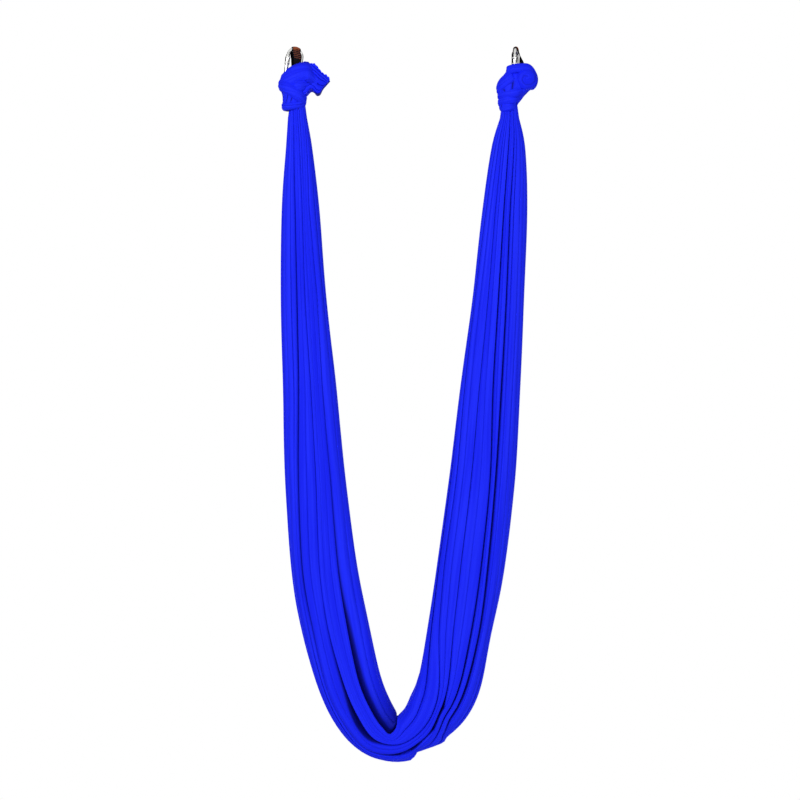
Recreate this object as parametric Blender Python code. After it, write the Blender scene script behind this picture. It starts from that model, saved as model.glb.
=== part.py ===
"""Aerial yoga hammock: one long cloth, knotted at both ends round two oval screw-gate carabiners.

Metres, +Z up. The origin is the seat of the left carabiner, where its hook would bear, and the right
carabiner's seat lies at +X. Seen from -Y the hammock is as photographed, at rest.
"""

import math
from collections import namedtuple

import bmesh
import bpy
from mathutils import Matrix, Vector

for old_object in list(bpy.data.objects):
    bpy.data.objects.remove(old_object, do_unlink=True)

# Driving dimensions
HOOK_SPACING = 0.663  # between the two seats
GAP = 0.0003  # between pieces that touch

# Oval carabiner, in its own frame: the top bow's centre is the origin, the gate is at -X, the spine at +X
BAR_DIAMETER = 0.009
CARABINER_WIDTH = 0.054
CARABINER_HEIGHT = 0.108
SEAT_HALF_ANGLE = 8.0  # half of the flat that bears on the hook, degrees round the top bow
NOSE_ANGLE = 167.0  # where the top bow ends, degrees round from the spine
HINGE_ANGLE = 210.0  # where the bottom bow ends
TONGUE_THICKNESS = 0.004
TONGUE_REACH = 0.0035  # half the width of each tongue
TONGUE_ROOT = 0.0025  # how far each tongue is sunk into its bow's end
TONGUE_SHOULDER = 0.004  # hinge tongue's straight sides below its pin
LATCH_LIP = 0.0016  # nose tongue below its notch
LATCH_LEAD = 0.001  # slope at the nose tongue's lower corner
LATCH_DROP = 0.001  # latch pin below the bow's centre
LATCH_PIN_DIAMETER = 0.0026
HINGE_PIN_DIAMETER = 0.0032
PIN_PROUD = 0.0003  # hinge pin past each side of the gate, latch pin short of it
GATE_DIAMETER = 0.011
GATE_ABOVE = 0.003  # gate's end above the bow's centre
GATE_OPENS = 22.0  # degrees, inwards
FORK_SIDE_CLEARANCE = 0.0005
FORK_DEPTH = 0.008
HINGE_FORK_DEPTH = 0.0058
SPRING_BORE = 0.0056
SPRING_LENGTH = 0.014
SPRING_WIRE = 0.0006
SPRING_TURNS = 6
PLUNGER_LENGTH = 0.006
PLUNGER_NOSE = 0.0005  # slope round the plunger's foot
SLEEVE_LENGTH = 0.022
SLEEVE_DIAMETER = 0.0138
SLEEVE_FLANGE = 0.016
SLEEVE_FLANGE_HEIGHT = 0.0034
SLEEVE_NECK = 0.0012  # slope from flange to waist
SLEEVE_EDGE = 0.0010
SLEEVE_FLUTE = 0.0005
SLEEVE_FLUTES = 18
SLEEVE_TRAVEL = 0.010
SLEEVE_COVERS = 0.001  # past the gate's end when it is screwed up

# Webbing loop over each top bow
WEBBING_THICKNESS = 0.002
WEBBING_WIDTH = 0.028
WEBBING_FOOT_WIDTH = 0.021
WEBBING_CLEAR = 0.0092  # from the carabiner's plane, where the gate and sleeve pass between the layers
WEBBING_DROP = 0.040  # foot below the bow's centre
STRAP_SHOULDER = 0.0165  # above the bow's centre
STRAP_SHOULDER_CLEAR = 0.0062
STRAP_FOOT_CLEAR = 0.0100
TWISTED_FOOT_CLEAR = 0.0190
STRAP_ASIDE = 0.011  # left loop's foot, towards the spine
STRAP_COLUMNS = 8
STRAP_ARC_STEPS = 5
TACK_THREAD = 0.0010
TACK_LIFT = 0.0005  # thread's back above the webbing's corners
TACK_WIDTH = 0.022
TACK_PITCH = 0.0054
TACK_COUNT = 5
TACK_FIRST = 0.0165  # first bar above the bow's centre

# Knots, seen from -Y
KNOT_TOP = 0.046  # below the seats
KNOT_BOTTOM = 0.181
KNOT_REACH = 0.060  # furthest from its seat, to the side
KNOT_DEPTH = 0.042  # half of its depth
KNOT_FOLD = 0.0030
KNOT_FOLDS = 6
KNOT_POINTS = 30
RING_CLEAR = 0.0006
GATE_CLEAR = 0.0008
GATE_ROOM_BELOW = 0.003  # past the gate's foot

# Cut ends of the cloth
TAIL_PLANE = 0.026  # left tail leaves the knot here, from the left seat
TAIL_LENGTH = 0.081
TAIL_LOW = 0.136  # its lowest place, below the seats
TAIL_DEPTH = 0.032  # half of its depth
TAIL_PLEAT = 0.0032
TAIL_POINTS = 20
ROLL_RADIUS = 0.032
ROLL_WAVE = 0.0014
ROLL_FRONT = 0.046
ROLL_BACK = 0.022
ROLL_SIDE = 0.0285  # roll's axis from the right seat
ROLL_DROP = 0.088
ROLL_PLANE = 0.0125  # roll leaves the knot here, from the right seat

# Cloth sling
LEFT_NECK = 0.0075  # neck's centre from the left seat
RIGHT_NECK = -0.0195
NECK_WIDTH = 0.057
NECK_DEPTH = 0.044
SLING_DROP = 1.859  # from the neck's axis to the middle of the seat's cloth
SLING_WIDTH = 0.200
SLING_DEPTH = 0.118
FOLD_DEPTH = 0.024
FOLD_COUNT = 8
FOLD_DRIFT = 0.6  # radians that the folds wander from one station to the next
LOBE_EDGE = 0.24  # where a lobe's crest starts and ends, as a share of its fold
LEG_RINGS = 15
SEAT_RINGS = 13

BAR_SIDES = 12
BAR_RADIUS = BAR_DIAMETER / 2
BAR_CORNER = BAR_RADIUS / math.cos(math.pi / BAR_SIDES)
BOW_RADIUS = (CARABINER_WIDTH - BAR_DIAMETER) / 2
STRAIGHT = CARABINER_HEIGHT - CARABINER_WIDTH
SEAT_RISE = (BOW_RADIUS - BAR_RADIUS) * math.cos(math.radians(SEAT_HALF_ANGLE))
GATE_RADIUS = GATE_DIAMETER / 2
SLEEVE_BORE_RADIUS = GATE_RADIUS + GAP
SLEEVE_FOOT = GATE_ABOVE + SLEEVE_COVERS - SLEEVE_TRAVEL - SLEEVE_LENGTH  # from the bow's centre, unscrewed
NECK_RADIUS = NECK_DEPTH / 2
NECK_AXIS_Z = -KNOT_BOTTOM - GAP - NECK_RADIUS
BEYOND = 2 * KNOT_BOTTOM  # a cutter's reach past a knot

# One end of the hammock: its seat, the carabiner's turn about Z and tilt in its own plane in degrees, and how
# far the webbing's nearer foot stands off, twists in degrees and lies aside
Side = namedtuple("Side", "name hook turn tilt near_foot twist aside")
LEFT = Side("left", Vector((0.0, 0.0, 0.0)), 25.0, 8.0, STRAP_FOOT_CLEAR, 0.0, STRAP_ASIDE)
RIGHT = Side("right", Vector((HOOK_SPACING, 0.0, 0.0)), 78.0, 0.0, TWISTED_FOOT_CLEAR, 38.0, 0.0)

# The webbing below its shoulder: level as a share of its drop, then how much of the way to the foot's place,
# width, aside and twist it has gone
StrapStop = namedtuple("StrapStop", "level outward narrowing aside twist")
STRAP_STOPS = (
    StrapStop(0.125, 0.00, 0.0, 0.15, 0.05),
    StrapStop(-0.20, 0.35, 0.5, 0.42, 0.40),
    StrapStop(-0.60, 0.75, 0.5, 0.72, 0.80),
    StrapStop(-1.00, 1.00, 1.0, 1.00, 1.00),
)

# Outline of each knot from its top, 0, to its bottom, 1; left and right of the seat are shares of KNOT_REACH
Ring = namedtuple("Ring", "down left right depth")
LEFT_KNOT = (
    Ring(0.00, -0.20, 0.28, 0.36),
    Ring(0.05, -0.32, 0.42, 0.51),
    Ring(0.12, -0.45, 0.55, 0.67),
    Ring(0.22, -0.65, 0.60, 0.83),
    Ring(0.40, -0.85, 0.63, 0.95),
    Ring(0.53, -0.77, 0.63, 0.96),
    Ring(0.66, -0.63, 0.60, 0.90),
    Ring(0.76, -0.62, 0.57, 0.83),
    Ring(0.84, -0.70, 0.57, 0.83),
    Ring(0.92, -0.60, 0.57, 0.79),
    Ring(1.00, -0.40, 0.57, 0.64),
)
RIGHT_KNOT = (
    Ring(0.00, -0.37, 0.50, 0.48),
    Ring(0.06, -0.50, 0.63, 0.67),
    Ring(0.16, -0.63, 0.73, 0.83),
    Ring(0.28, -0.77, 0.83, 0.95),
    Ring(0.42, -0.93, 0.87, 1.00),
    Ring(0.54, -1.00, 0.77, 0.98),
    Ring(0.66, -0.97, 0.52, 0.90),
    Ring(0.76, -0.95, 0.35, 0.81),
    Ring(0.86, -0.92, 0.18, 0.74),
    Ring(0.94, -0.88, 0.13, 0.69),
    Ring(1.00, -0.85, 0.13, 0.62),
)
LEFT_DRIFT, RIGHT_DRIFT = 5.0, -4.0  # radians that a knot's folds slant from its top to its bottom

# Left tail from the knot to its cut end: upper and lower edge as shares of its length and its lowest drop
Fan = namedtuple("Fan", "upper lower depth")
LEFT_TAIL = (
    Fan((0.00, 0.26), (0.00, 1.00), 0.94),
    Fan((0.12, 0.19), (0.20, 0.96), 1.00),
    Fan((0.37, 0.29), (0.40, 0.93), 0.97),
    Fan((0.64, 0.44), (0.57, 0.91), 0.84),
    Fan((0.86, 0.58), (0.64, 0.90), 0.69),
    Fan((1.00, 0.66), (0.68, 0.88), 0.50),
)

# Right roll along its axis from its front end, and its radius there, as shares
ROLL_PROFILE = ((0.0, 0.55), (0.10, 0.86), (0.30, 1.0), (0.65, 1.0), (0.88, 0.88), (1.0, 0.60))

# Sling's route: -1 is under the left neck, 1 under the right; drop, width and depth are shares
Station = namedtuple("Station", "side drop width depth")
SLING_ROUTE = (
    Station(-1.000, 0.000, 0.285, 0.37),
    Station(-0.986, 0.048, 0.390, 0.46),
    Station(-0.972, 0.144, 0.555, 0.60),
    Station(-0.943, 0.289, 0.675, 0.72),
    Station(-0.887, 0.433, 0.790, 0.80),
    Station(-0.835, 0.578, 0.895, 0.88),
    Station(-0.750, 0.722, 0.975, 0.94),
    Station(-0.646, 0.819, 0.990, 0.98),
    Station(-0.514, 0.907, 0.940, 1.00),
    Station(-0.382, 0.958, 0.880, 1.00),
    Station(-0.231, 0.989, 0.790, 1.00),
    Station(-0.057, 1.000, 0.660, 1.00),
    Station(0.123, 0.987, 0.690, 1.00),
    Station(0.288, 0.958, 0.840, 1.00),
    Station(0.429, 0.912, 0.930, 1.00),
    Station(0.533, 0.823, 0.950, 0.98),
    Station(0.637, 0.722, 1.000, 0.94),
    Station(0.745, 0.578, 0.970, 0.88),
    Station(0.821, 0.433, 0.885, 0.80),
    Station(0.896, 0.289, 0.765, 0.72),
    Station(0.958, 0.144, 0.660, 0.62),
    Station(0.990, 0.048, 0.500, 0.50),
    Station(1.000, 0.000, 0.285, 0.37),
)
SEAT_FROM, SEAT_TO = 7, 15  # stations between which the cloth bends most
NECK_CAP_ANGLES = (30.0, 58.0, 80.0)  # rings of the half cylinder that each neck turns on


def material(name, colour, metallic, roughness):
    """A plain Principled material."""
    made = bpy.data.materials.new(name)
    made.use_nodes = True
    shader = made.node_tree.nodes["Principled BSDF"]
    shader.inputs["Base Color"].default_value = (*colour, 1.0)
    shader.inputs["Metallic"].default_value = metallic
    shader.inputs["Roughness"].default_value = roughness
    return made


STEEL = material("polished_steel", (0.62, 0.62, 0.60), 1.0, 0.22)
PIN_STEEL = material("pin_steel", (0.42, 0.42, 0.42), 1.0, 0.35)
CLOTH = material("blue_tricot", (0.015, 0.025, 0.90), 0.0, 0.65)
WEBBING = material("black_webbing", (0.012, 0.012, 0.014), 0.0, 0.80)
THREAD = material("orange_thread", (0.62, 0.20, 0.06), 0.0, 0.70)


def add_object(name, mesh, finish, parent=None):
    """Link a mesh under its name, smooth where it is round."""
    made = bpy.data.objects.new(name, mesh)
    mesh.materials.append(finish)
    mesh.shade_smooth()
    mesh.set_sharp_from_angle(angle=math.radians(40.0))
    made.parent = parent
    bpy.context.scene.collection.objects.link(made)
    return made


def to_mesh(name, work):
    """Close a bmesh into a mesh whose faces point out."""
    bmesh.ops.recalc_face_normals(work, faces=work.faces)
    mesh = bpy.data.meshes.new(name)
    work.to_mesh(mesh)
    work.free()
    return mesh


def loft(name, rings, closed=False):
    """Skin a list of rings of equal count. An open loft gets flat ends, a closed one meets itself."""
    work = bmesh.new()
    rows = [[work.verts.new(point) for point in ring] for ring in rings]
    pairs = list(zip(rows, rows[1:]))
    if closed:
        pairs.append((rows[-1], rows[0]))
    for low, high in pairs:
        count = len(low)
        for index in range(count):
            after = (index + 1) % count
            work.faces.new((low[index], low[after], high[after], high[index]))
    if not closed:
        work.faces.new(reversed(rows[0]))
        work.faces.new(rows[-1])
    return to_mesh(name, work)


def grown(mesh, by):
    """Move every face of a closed mesh out by about the same distance."""
    work = bmesh.new()
    work.from_mesh(mesh)
    bmesh.ops.triangulate(work, faces=work.faces)
    work.normal_update()
    steps = [vertex.normal * vertex.calc_shell_factor() * by for vertex in work.verts]
    for vertex, step in zip(work.verts, steps):
        vertex.co += step
    work.to_mesh(mesh)
    work.free()
    return mesh


def prism(name, outline, low, high):
    """A flat outline in X and Z, extruded along Y from low to high."""
    return loft(name, [[Vector((x, y, z)) for x, z in outline] for y in (low, high)])


def box_outline(left, right, bottom, top):
    """Corners of an upright rectangle in X and Z."""
    return (left, bottom), (right, bottom), (right, top), (left, top)


def circle(radius, count, phase=0.0):
    """Points round a circle, from phase in turns of one step."""
    steps = [2 * math.pi * (index + phase) / count for index in range(count)]
    return [(radius * math.cos(step), radius * math.sin(step)) for step in steps]


def turned(name, profile, count):
    """A solid turned about Z from (radius, height) points, bottom to top."""
    rings = []
    for radius, height in profile:
        rings.append([Vector((x, y, height)) for x, y in circle(radius, count)])
    return loft(name, rings)


def cylinder_along_y(name, radius, length, count=16):
    """A pin along Y, centred."""
    return prism(name, circle(radius, count), -length / 2, length / 2)


def cutter(name, mesh, parent=None):
    """A hidden solid that shapes another."""
    made = bpy.data.objects.new(name, mesh)
    made.hide_render = True
    made.display_type = "WIRE"
    made.parent = parent
    bpy.context.scene.collection.objects.link(made)
    return made


def cut(target, tool, operation="DIFFERENCE"):
    """Cut a solid with a hidden one, or join them."""
    step = target.modifiers.new(tool.name, "BOOLEAN")
    step.operation = operation
    step.solver = "EXACT"
    step.object = tool


def frame(name, place, turn, tilt):
    """An empty at a carabiner's top bow centre, turned about Z and tilted in its own plane."""
    made = bpy.data.objects.new(name, None)
    made.location = place
    made.rotation_mode = "XYZ"
    made.rotation_euler = (0.0, math.radians(tilt), math.radians(turn))
    bpy.context.scene.collection.objects.link(made)
    return made


def bar_path(from_angle, to_angle, tilt):
    """Centreline of the oval bar in X and Z, with its outward direction, from the nose over the top bow."""
    top = math.radians(90.0 + tilt)
    seat_half = math.radians(SEAT_HALF_ANGLE)
    start = math.radians(from_angle)
    end = math.radians(to_angle) - 2 * math.pi
    nose_steps, spine_steps, bottom_steps = 5, 6, 13
    angles = [start + (top + seat_half - start) * index / nose_steps for index in range(nose_steps + 1)]
    angles += [(top - seat_half) * (1.0 - index / spine_steps) for index in range(spine_steps + 1)]
    path = [(BOW_RADIUS * math.cos(angle), BOW_RADIUS * math.sin(angle), angle) for angle in angles]
    for index in range(bottom_steps + 1):
        angle = end * index / bottom_steps
        path.append((BOW_RADIUS * math.cos(angle), BOW_RADIUS * math.sin(angle) - STRAIGHT, angle))
    return path


def bar_rings(path, radius, count):
    """Rings round the bar's centreline, each with a flat towards the inside of the bow."""
    rings = []
    for x, z, angle in path:
        out = Vector((math.cos(angle), 0.0, math.sin(angle)))
        ring = []
        for across, along in circle(radius / math.cos(math.pi / count), count, 0.5):
            ring.append(Vector((x, across, z)) + out * along)
        rings.append(ring)
    return rings


def tongue_root(stop, onward):
    """The outer and the inner corner of a tongue that is sunk into the bar's end."""
    x, z, angle = stop
    out = Vector((math.cos(angle), math.sin(angle))) * TONGUE_REACH * 0.7
    inside = Vector((x, z)) + Vector((math.sin(angle), -math.cos(angle))) * TONGUE_ROOT * onward
    return tuple(inside + out), tuple(inside - out)


def carabiner_body(side, parent):
    """Bent bar with a notched nose tongue, and a hinge tongue that the gate's fork straddles."""
    path = bar_path(NOSE_ANGLE, HINGE_ANGLE, side.tilt)
    bar = loft("bar", bar_rings(path, BAR_RADIUS, BAR_SIDES))
    body = add_object(f"{side.name}_carabiner_body", bar, STEEL, parent)
    half = TONGUE_THICKNESS / 2
    left, right = -BOW_RADIUS - TONGUE_REACH, -BOW_RADIUS + TONGUE_REACH

    pin_room = LATCH_PIN_DIAMETER / 2 + GAP
    notch_back = -BOW_RADIUS - pin_room
    notch_low, notch_high = -LATCH_DROP - pin_room, -LATCH_DROP + pin_room
    outer, inner = tongue_root(path[0], 1)
    nose = (
        (left, notch_low - LATCH_LIP),
        (right - LATCH_LEAD, notch_low - LATCH_LIP),
        (right, notch_low),
        (notch_back, notch_low),
        (notch_back, notch_high),
        (right, notch_high),
        inner,
        outer,
    )
    cut(body, cutter(f"{side.name}_nose_tongue", prism("nose", nose, -half, half), parent), "UNION")

    shoulder = -STRAIGHT - TONGUE_SHOULDER
    top = -STRAIGHT + TONGUE_REACH
    outer, inner = tongue_root(path[-1], -1)
    hinge = ((left, top), (left, shoulder), outer, inner, (right, shoulder), (right, top))
    cut(body, cutter(f"{side.name}_hinge_tongue", prism("hinge", hinge, -half, half), parent), "UNION")
    bore = cylinder_along_y("bore", HINGE_PIN_DIAMETER / 2 + GAP, TONGUE_THICKNESS * 2)
    bore.transform(Matrix.Translation((-BOW_RADIUS, 0.0, -STRAIGHT)))
    cut(body, cutter(f"{side.name}_hinge_bore", bore, parent))


def carabiner_gate(side, parent):
    """Gate, its pins, spring and plunger, and the locking sleeve round it."""
    hinge = Vector((-BOW_RADIUS, 0.0, -STRAIGHT))
    height = STRAIGHT + GATE_ABOVE
    foot = -GATE_RADIUS
    profile = (
        (GATE_RADIUS * 0.60, foot),
        (GATE_RADIUS * 0.89, foot * 0.75),
        (GATE_RADIUS, foot * 0.27),
        (GATE_RADIUS, height - SLEEVE_EDGE),
        (GATE_RADIUS * 0.85, height),
    )
    gate = add_object(f"{side.name}_carabiner_gate", turned("gate", profile, 24), STEEL, parent)
    gate.location = hinge

    def gate_cut(name, mesh):
        tool = cutter(f"{side.name}_{name}", mesh, parent)
        tool.location = hinge
        cut(gate, tool)

    slot = TONGUE_THICKNESS / 2 + FORK_SIDE_CLEARANCE
    wide = GATE_DIAMETER
    upper = box_outline(-wide, wide, height - FORK_DEPTH, height + wide)
    gate_cut("nose_slot", prism("slot", upper, -slot, slot))
    lower = box_outline(-wide, wide, -2 * wide, HINGE_FORK_DEPTH)
    gate_cut("hinge_slot", prism("slot", lower, -slot, slot))
    gate_cut("hinge_hole", cylinder_along_y("hole", HINGE_PIN_DIAMETER / 2 + GAP, 2 * wide))
    latch = cylinder_along_y("hole", LATCH_PIN_DIAMETER / 2 + GAP, 2 * wide)
    latch.transform(Matrix.Translation((0.0, 0.0, STRAIGHT - LATCH_DROP)))
    gate_cut("latch_hole", latch)
    spring_from = TONGUE_REACH + GAP + PLUNGER_LENGTH + GAP
    bore_levels = (HINGE_FORK_DEPTH - SLEEVE_EDGE, spring_from + SPRING_LENGTH + GAP)
    gate_cut("spring_bore", turned("bore", [(SPRING_BORE / 2, level) for level in bore_levels], 16))

    pin = cylinder_along_y("hinge_pin", HINGE_PIN_DIAMETER / 2, GATE_DIAMETER + 2 * PIN_PROUD)
    add_object(f"{side.name}_hinge_pin", pin, PIN_STEEL, parent).location = hinge
    pin = cylinder_along_y("latch_pin", LATCH_PIN_DIAMETER / 2, GATE_DIAMETER - 2 * PIN_PROUD)
    made = add_object(f"{side.name}_latch_pin", pin, PIN_STEEL, parent)
    made.location = hinge + Vector((0.0, 0.0, STRAIGHT - LATCH_DROP))

    radius = SPRING_BORE / 2 - GAP
    profile = ((radius - PLUNGER_NOSE, 0.0), (radius, PLUNGER_NOSE), (radius, PLUNGER_LENGTH))
    made = add_object(f"{side.name}_gate_plunger", turned("plunger", profile, 16), PIN_STEEL, parent)
    made.location = hinge + Vector((0.0, 0.0, TONGUE_REACH + GAP))

    made = add_object(f"{side.name}_gate_spring", spring_mesh(), PIN_STEEL, parent)
    made.location = hinge + Vector((0.0, 0.0, spring_from))

    sleeve = add_object(f"{side.name}_locking_sleeve", sleeve_mesh(), STEEL, parent)
    sleeve.location = (-BOW_RADIUS, 0.0, SLEEVE_FOOT)


def spring_mesh():
    """Compression spring along Z, one unbroken wire."""
    wire = SPRING_WIRE / 2
    radius = SPRING_BORE / 2 - GAP - wire
    per_turn = 8
    total = SPRING_TURNS * per_turn
    rise = (SPRING_LENGTH - 2 * wire) / total
    rings = []
    for index in range(total + 1):
        angle = 2 * math.pi * index / per_turn
        out = Vector((math.cos(angle), math.sin(angle), 0.0))
        centre = out * radius + Vector((0.0, 0.0, wire + rise * index))
        rings.append([centre + out * a + Vector((0.0, 0.0, b)) for a, b in circle(wire, 6)])
    print(f"gate spring: least gap between turns {(rise * per_turn - SPRING_WIRE) * 1000:.2f} mm")
    return loft("spring", rings)


def sleeve_mesh():
    """Fluted locking sleeve with a flange at each end and a bore."""
    count = 2 * SLEEVE_FLUTES
    waist, flange = SLEEVE_DIAMETER / 2, SLEEVE_FLANGE / 2
    step = SLEEVE_FLANGE_HEIGHT
    levels = (
        (flange - SLEEVE_EDGE, 0.0),
        (flange, SLEEVE_EDGE),
        (flange, step),
        (waist, step + SLEEVE_NECK),
        (waist, SLEEVE_LENGTH - step - SLEEVE_NECK),
        (flange, SLEEVE_LENGTH - step),
        (flange, SLEEVE_LENGTH - SLEEVE_EDGE),
        (flange - SLEEVE_EDGE, SLEEVE_LENGTH),
    )
    rings = []
    for radius, height in levels:
        ring = []
        for index, (x, y) in enumerate(circle(1.0, count)):
            reach = radius - (SLEEVE_FLUTE if index % 2 else 0.0)
            ring.append(Vector((x * reach, y * reach, height)))
        rings.append(ring)
    for height in (SLEEVE_LENGTH, 0.0):
        rings.append([Vector((x, y, height)) for x, y in circle(SLEEVE_BORE_RADIUS, count)])
    return loft("sleeve", rings, closed=True)


def strap_rows(side, grow):
    """Path of the webbing over the bow, foot to foot, grown all round by a distance.

    Each row holds the strap's inner and outer point at each place across its width.
    """
    across = [index / STRAP_COLUMNS * 2 - 1 for index in range(STRAP_COLUMNS + 1)]
    arc = [90.0 * index / STRAP_ARC_STEPS for index in range(STRAP_ARC_STEPS + 1)]
    inner_radius = BAR_CORNER + 1.5 * GAP

    def bow_row(sign, degrees):
        row = []
        angle = math.radians(degrees)
        for share in across:
            x = share * (WEBBING_WIDTH / 2 + grow)
            pair = []
            for radius in (inner_radius - grow, inner_radius + WEBBING_THICKNESS + grow):
                reach = BOW_RADIUS + radius * math.sin(angle)
                pair.append(Vector((x, sign * radius * math.cos(angle), math.sqrt(reach * reach - x * x))))
            row.append(pair)
        return row

    def leg_row(sign, levels, clear, width, aside, twist):
        row = []
        for share, level in zip(across, levels):
            x = share * (width / 2 + grow)
            pair = []
            for off in (-grow, WEBBING_THICKNESS + grow):
                turn = Matrix.Rotation(math.radians(twist), 3, "Z")
                pair.append(turn @ Vector((x, sign * off, 0.0)) + Vector((aside, sign * clear, level)))
            row.append(pair)
        return row

    def leg(sign, foot, twist):
        round_bow = []
        for share in across:
            x = share * (WEBBING_WIDTH / 2 + grow)
            round_bow.append(math.sqrt(BOW_RADIUS**2 - x * x) - BOW_RADIUS + STRAP_SHOULDER)
        made = [leg_row(sign, round_bow, STRAP_SHOULDER_CLEAR, WEBBING_WIDTH, 0.0, 0.0)]
        for stop in STRAP_STOPS:
            level = WEBBING_DROP * stop.level - (grow if stop is STRAP_STOPS[-1] else 0.0)
            clear = WEBBING_CLEAR + (foot - WEBBING_CLEAR) * stop.outward
            width = WEBBING_WIDTH + (WEBBING_FOOT_WIDTH - WEBBING_WIDTH) * stop.narrowing
            flat = [level] * len(across)
            made.append(leg_row(sign, flat, clear, width, side.aside * stop.aside, twist * stop.twist))
        return made

    rows = leg(-1.0, side.near_foot, side.twist)[::-1]
    rows += [bow_row(-1.0, degrees) for degrees in arc]
    rows += [bow_row(1.0, degrees) for degrees in arc[-2::-1]]
    return rows + leg(1.0, STRAP_FOOT_CLEAR, 0.0)


def strap_mesh(side, grow=0.0):
    """The webbing as a closed band, each row a flat ring round its inner and outer surface."""
    rings = []
    for row in strap_rows(side, grow):
        inner = [pair[0] for pair in row]
        outer = [pair[1] for pair in row]
        rings.append(inner + outer[::-1])
    return loft("webbing", rings)


def tack_mesh(side):
    """One serpentine thread: bars sewn across the webbing's outer face, joined at their ends."""
    rows = strap_rows(side, 0.0)
    away = 1.0 if side is RIGHT else -1.0  # the layer that is sewn
    if side is RIGHT:
        rows.reverse()
    face = [[pair[1] for pair in row] for row in rows[: len(rows) // 2 + 1]]
    half = TACK_THREAD / 2
    lift = half + TACK_LIFT

    def on_face(share, height):
        column = (share + 1.0) * STRAP_COLUMNS / 2
        left = min(int(column), STRAP_COLUMNS - 1)
        line = [row[left].lerp(row[left + 1], column - left) for row in face]
        for low, high in zip(line, line[1:]):
            if low.z <= height <= high.z:
                part = (height - low.z) / (high.z - low.z)
                normal = Vector((0.0, away * (high.z - low.z), -away * (high.y - low.y))).normalized()
                return low.lerp(high, part) + normal * lift
        return line[-1] + Vector((0.0, away * lift, 0.0))

    points = []
    reach = TACK_WIDTH / WEBBING_WIDTH
    for bar in range(TACK_COUNT):
        height = TACK_FIRST - bar * TACK_PITCH
        shares = [-reach, -reach / 2, 0.0, reach / 2, reach]
        if bar % 2:
            shares.reverse()
        points.extend(on_face(share, height) for share in shares)
        if bar < TACK_COUNT - 1:
            points.append(on_face(shares[-1], height - TACK_PITCH / 2))
    rings = []
    corners = ((1, 1), (-1, 1), (-1, -1), (1, -1))
    for index, point in enumerate(points):
        ahead = points[min(index + 1, len(points) - 1)] - points[max(index - 1, 0)]
        out = Vector((0.0, away * half, 0.0))
        aside = ahead.cross(out).normalized() * half
        rings.append([point + aside * a + out * b for a, b in corners])
    return loft("tacks", rings)


def knot_rings(side, outline, drift):
    """Rings of a knot's cloth from its top to its flat bottom, with slanting folds."""
    rings = []
    for ring in outline:
        level = -KNOT_TOP - (KNOT_BOTTOM - KNOT_TOP) * ring.down
        middle = KNOT_REACH * (ring.left + ring.right) / 2
        half = KNOT_REACH * (ring.right - ring.left) / 2
        deep = KNOT_DEPTH * ring.depth
        fold = KNOT_FOLD * min(1.0, 4.0 * min(ring.down + 0.05, 1.0 - ring.down))
        points = []
        for index in range(KNOT_POINTS):
            angle = 2 * math.pi * index / KNOT_POINTS
            draw = fold * (1.0 - math.cos(KNOT_FOLDS * angle + drift * ring.down))
            x = middle + (half - draw) * math.cos(angle)
            points.append(side.hook + Vector((x, (deep - draw) * math.sin(angle), level)))
        rings.append(points)
    return rings


def knot(side, outline, drift, parent):
    """A knot's cloth, hollowed where the carabiner, its gate and the webbing pass through it."""
    made = add_object(f"{side.name}_knot", loft("knot", knot_rings(side, outline, drift)), CLOTH)
    oval = bar_path(180.0, 180.01, side.tilt)
    ring = loft("ring", bar_rings(oval[:-1], BAR_RADIUS + RING_CLEAR, 10), closed=True)
    cut(made, cutter(f"{side.name}_ring_room", ring, parent))
    cut(made, cutter(f"{side.name}_gate_room", gate_room(), parent))
    cut(made, cutter(f"{side.name}_webbing_room", strap_mesh(side, grow=GAP), parent))
    return made


def gate_room():
    """The space that the gate and its sleeve sweep, as a prism between the webbing's layers."""
    turn = math.radians(GATE_OPENS)
    tube = GATE_RADIUS + GATE_CLEAR
    toe = tube * 0.8
    sleeve = SLEEVE_FLANGE / 2 + GATE_CLEAR
    sleeve_low = SLEEVE_FOOT - GATE_CLEAR
    foot = -STRAIGHT - GATE_RADIUS - GATE_ROOM_BELOW

    def open_gate(level, aside):
        """A point of the open gate, from its level when it is shut."""
        along = level + STRAIGHT
        x = -BOW_RADIUS + along * math.sin(turn) + aside * math.cos(turn)
        return x, -STRAIGHT + along * math.cos(turn) - aside * math.sin(turn)

    outline = (
        (-BOW_RADIUS + toe, foot),
        open_gate(-STRAIGHT, tube),
        open_gate(sleeve_low, tube),
        open_gate(sleeve_low, sleeve),
        open_gate(0.0, sleeve),
        (-BOW_RADIUS - sleeve, 0.0),
        (-BOW_RADIUS - sleeve, sleeve_low),
        (-BOW_RADIUS - tube, sleeve_low + tube - sleeve),
        (-BOW_RADIUS - tube, -STRAIGHT),
        (-BOW_RADIUS - toe, foot),
    )
    return prism("gate_room", outline, -sleeve, sleeve)


def left_tail():
    """The cloth's left end: a pleated fan that folds over to the right of its knot."""
    root = Vector((TAIL_PLANE + GAP, 0.0, 0.0))
    rings = []
    for index, fan in enumerate(LEFT_TAIL):
        upper, lower = [Vector((TAIL_LENGTH * x, 0.0, -TAIL_LOW * z)) for x, z in (fan.upper, fan.lower)]
        middle, reach = (upper + lower) / 2, (upper - lower) / 2
        deep = TAIL_DEPTH * fan.depth
        pleat = TAIL_PLEAT / deep if index else 0.0
        ring = []
        for step in range(TAIL_POINTS):
            angle = 2 * math.pi * step / TAIL_POINTS
            share = 1.0 - (pleat if step % 2 else 0.0)
            spread = reach * math.cos(angle) + Vector((0.0, deep * math.sin(angle), 0.0))
            ring.append(root + middle + spread * share)
        rings.append(ring)
    return add_object("left_tail", loft("tail", rings), CLOTH)


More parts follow.
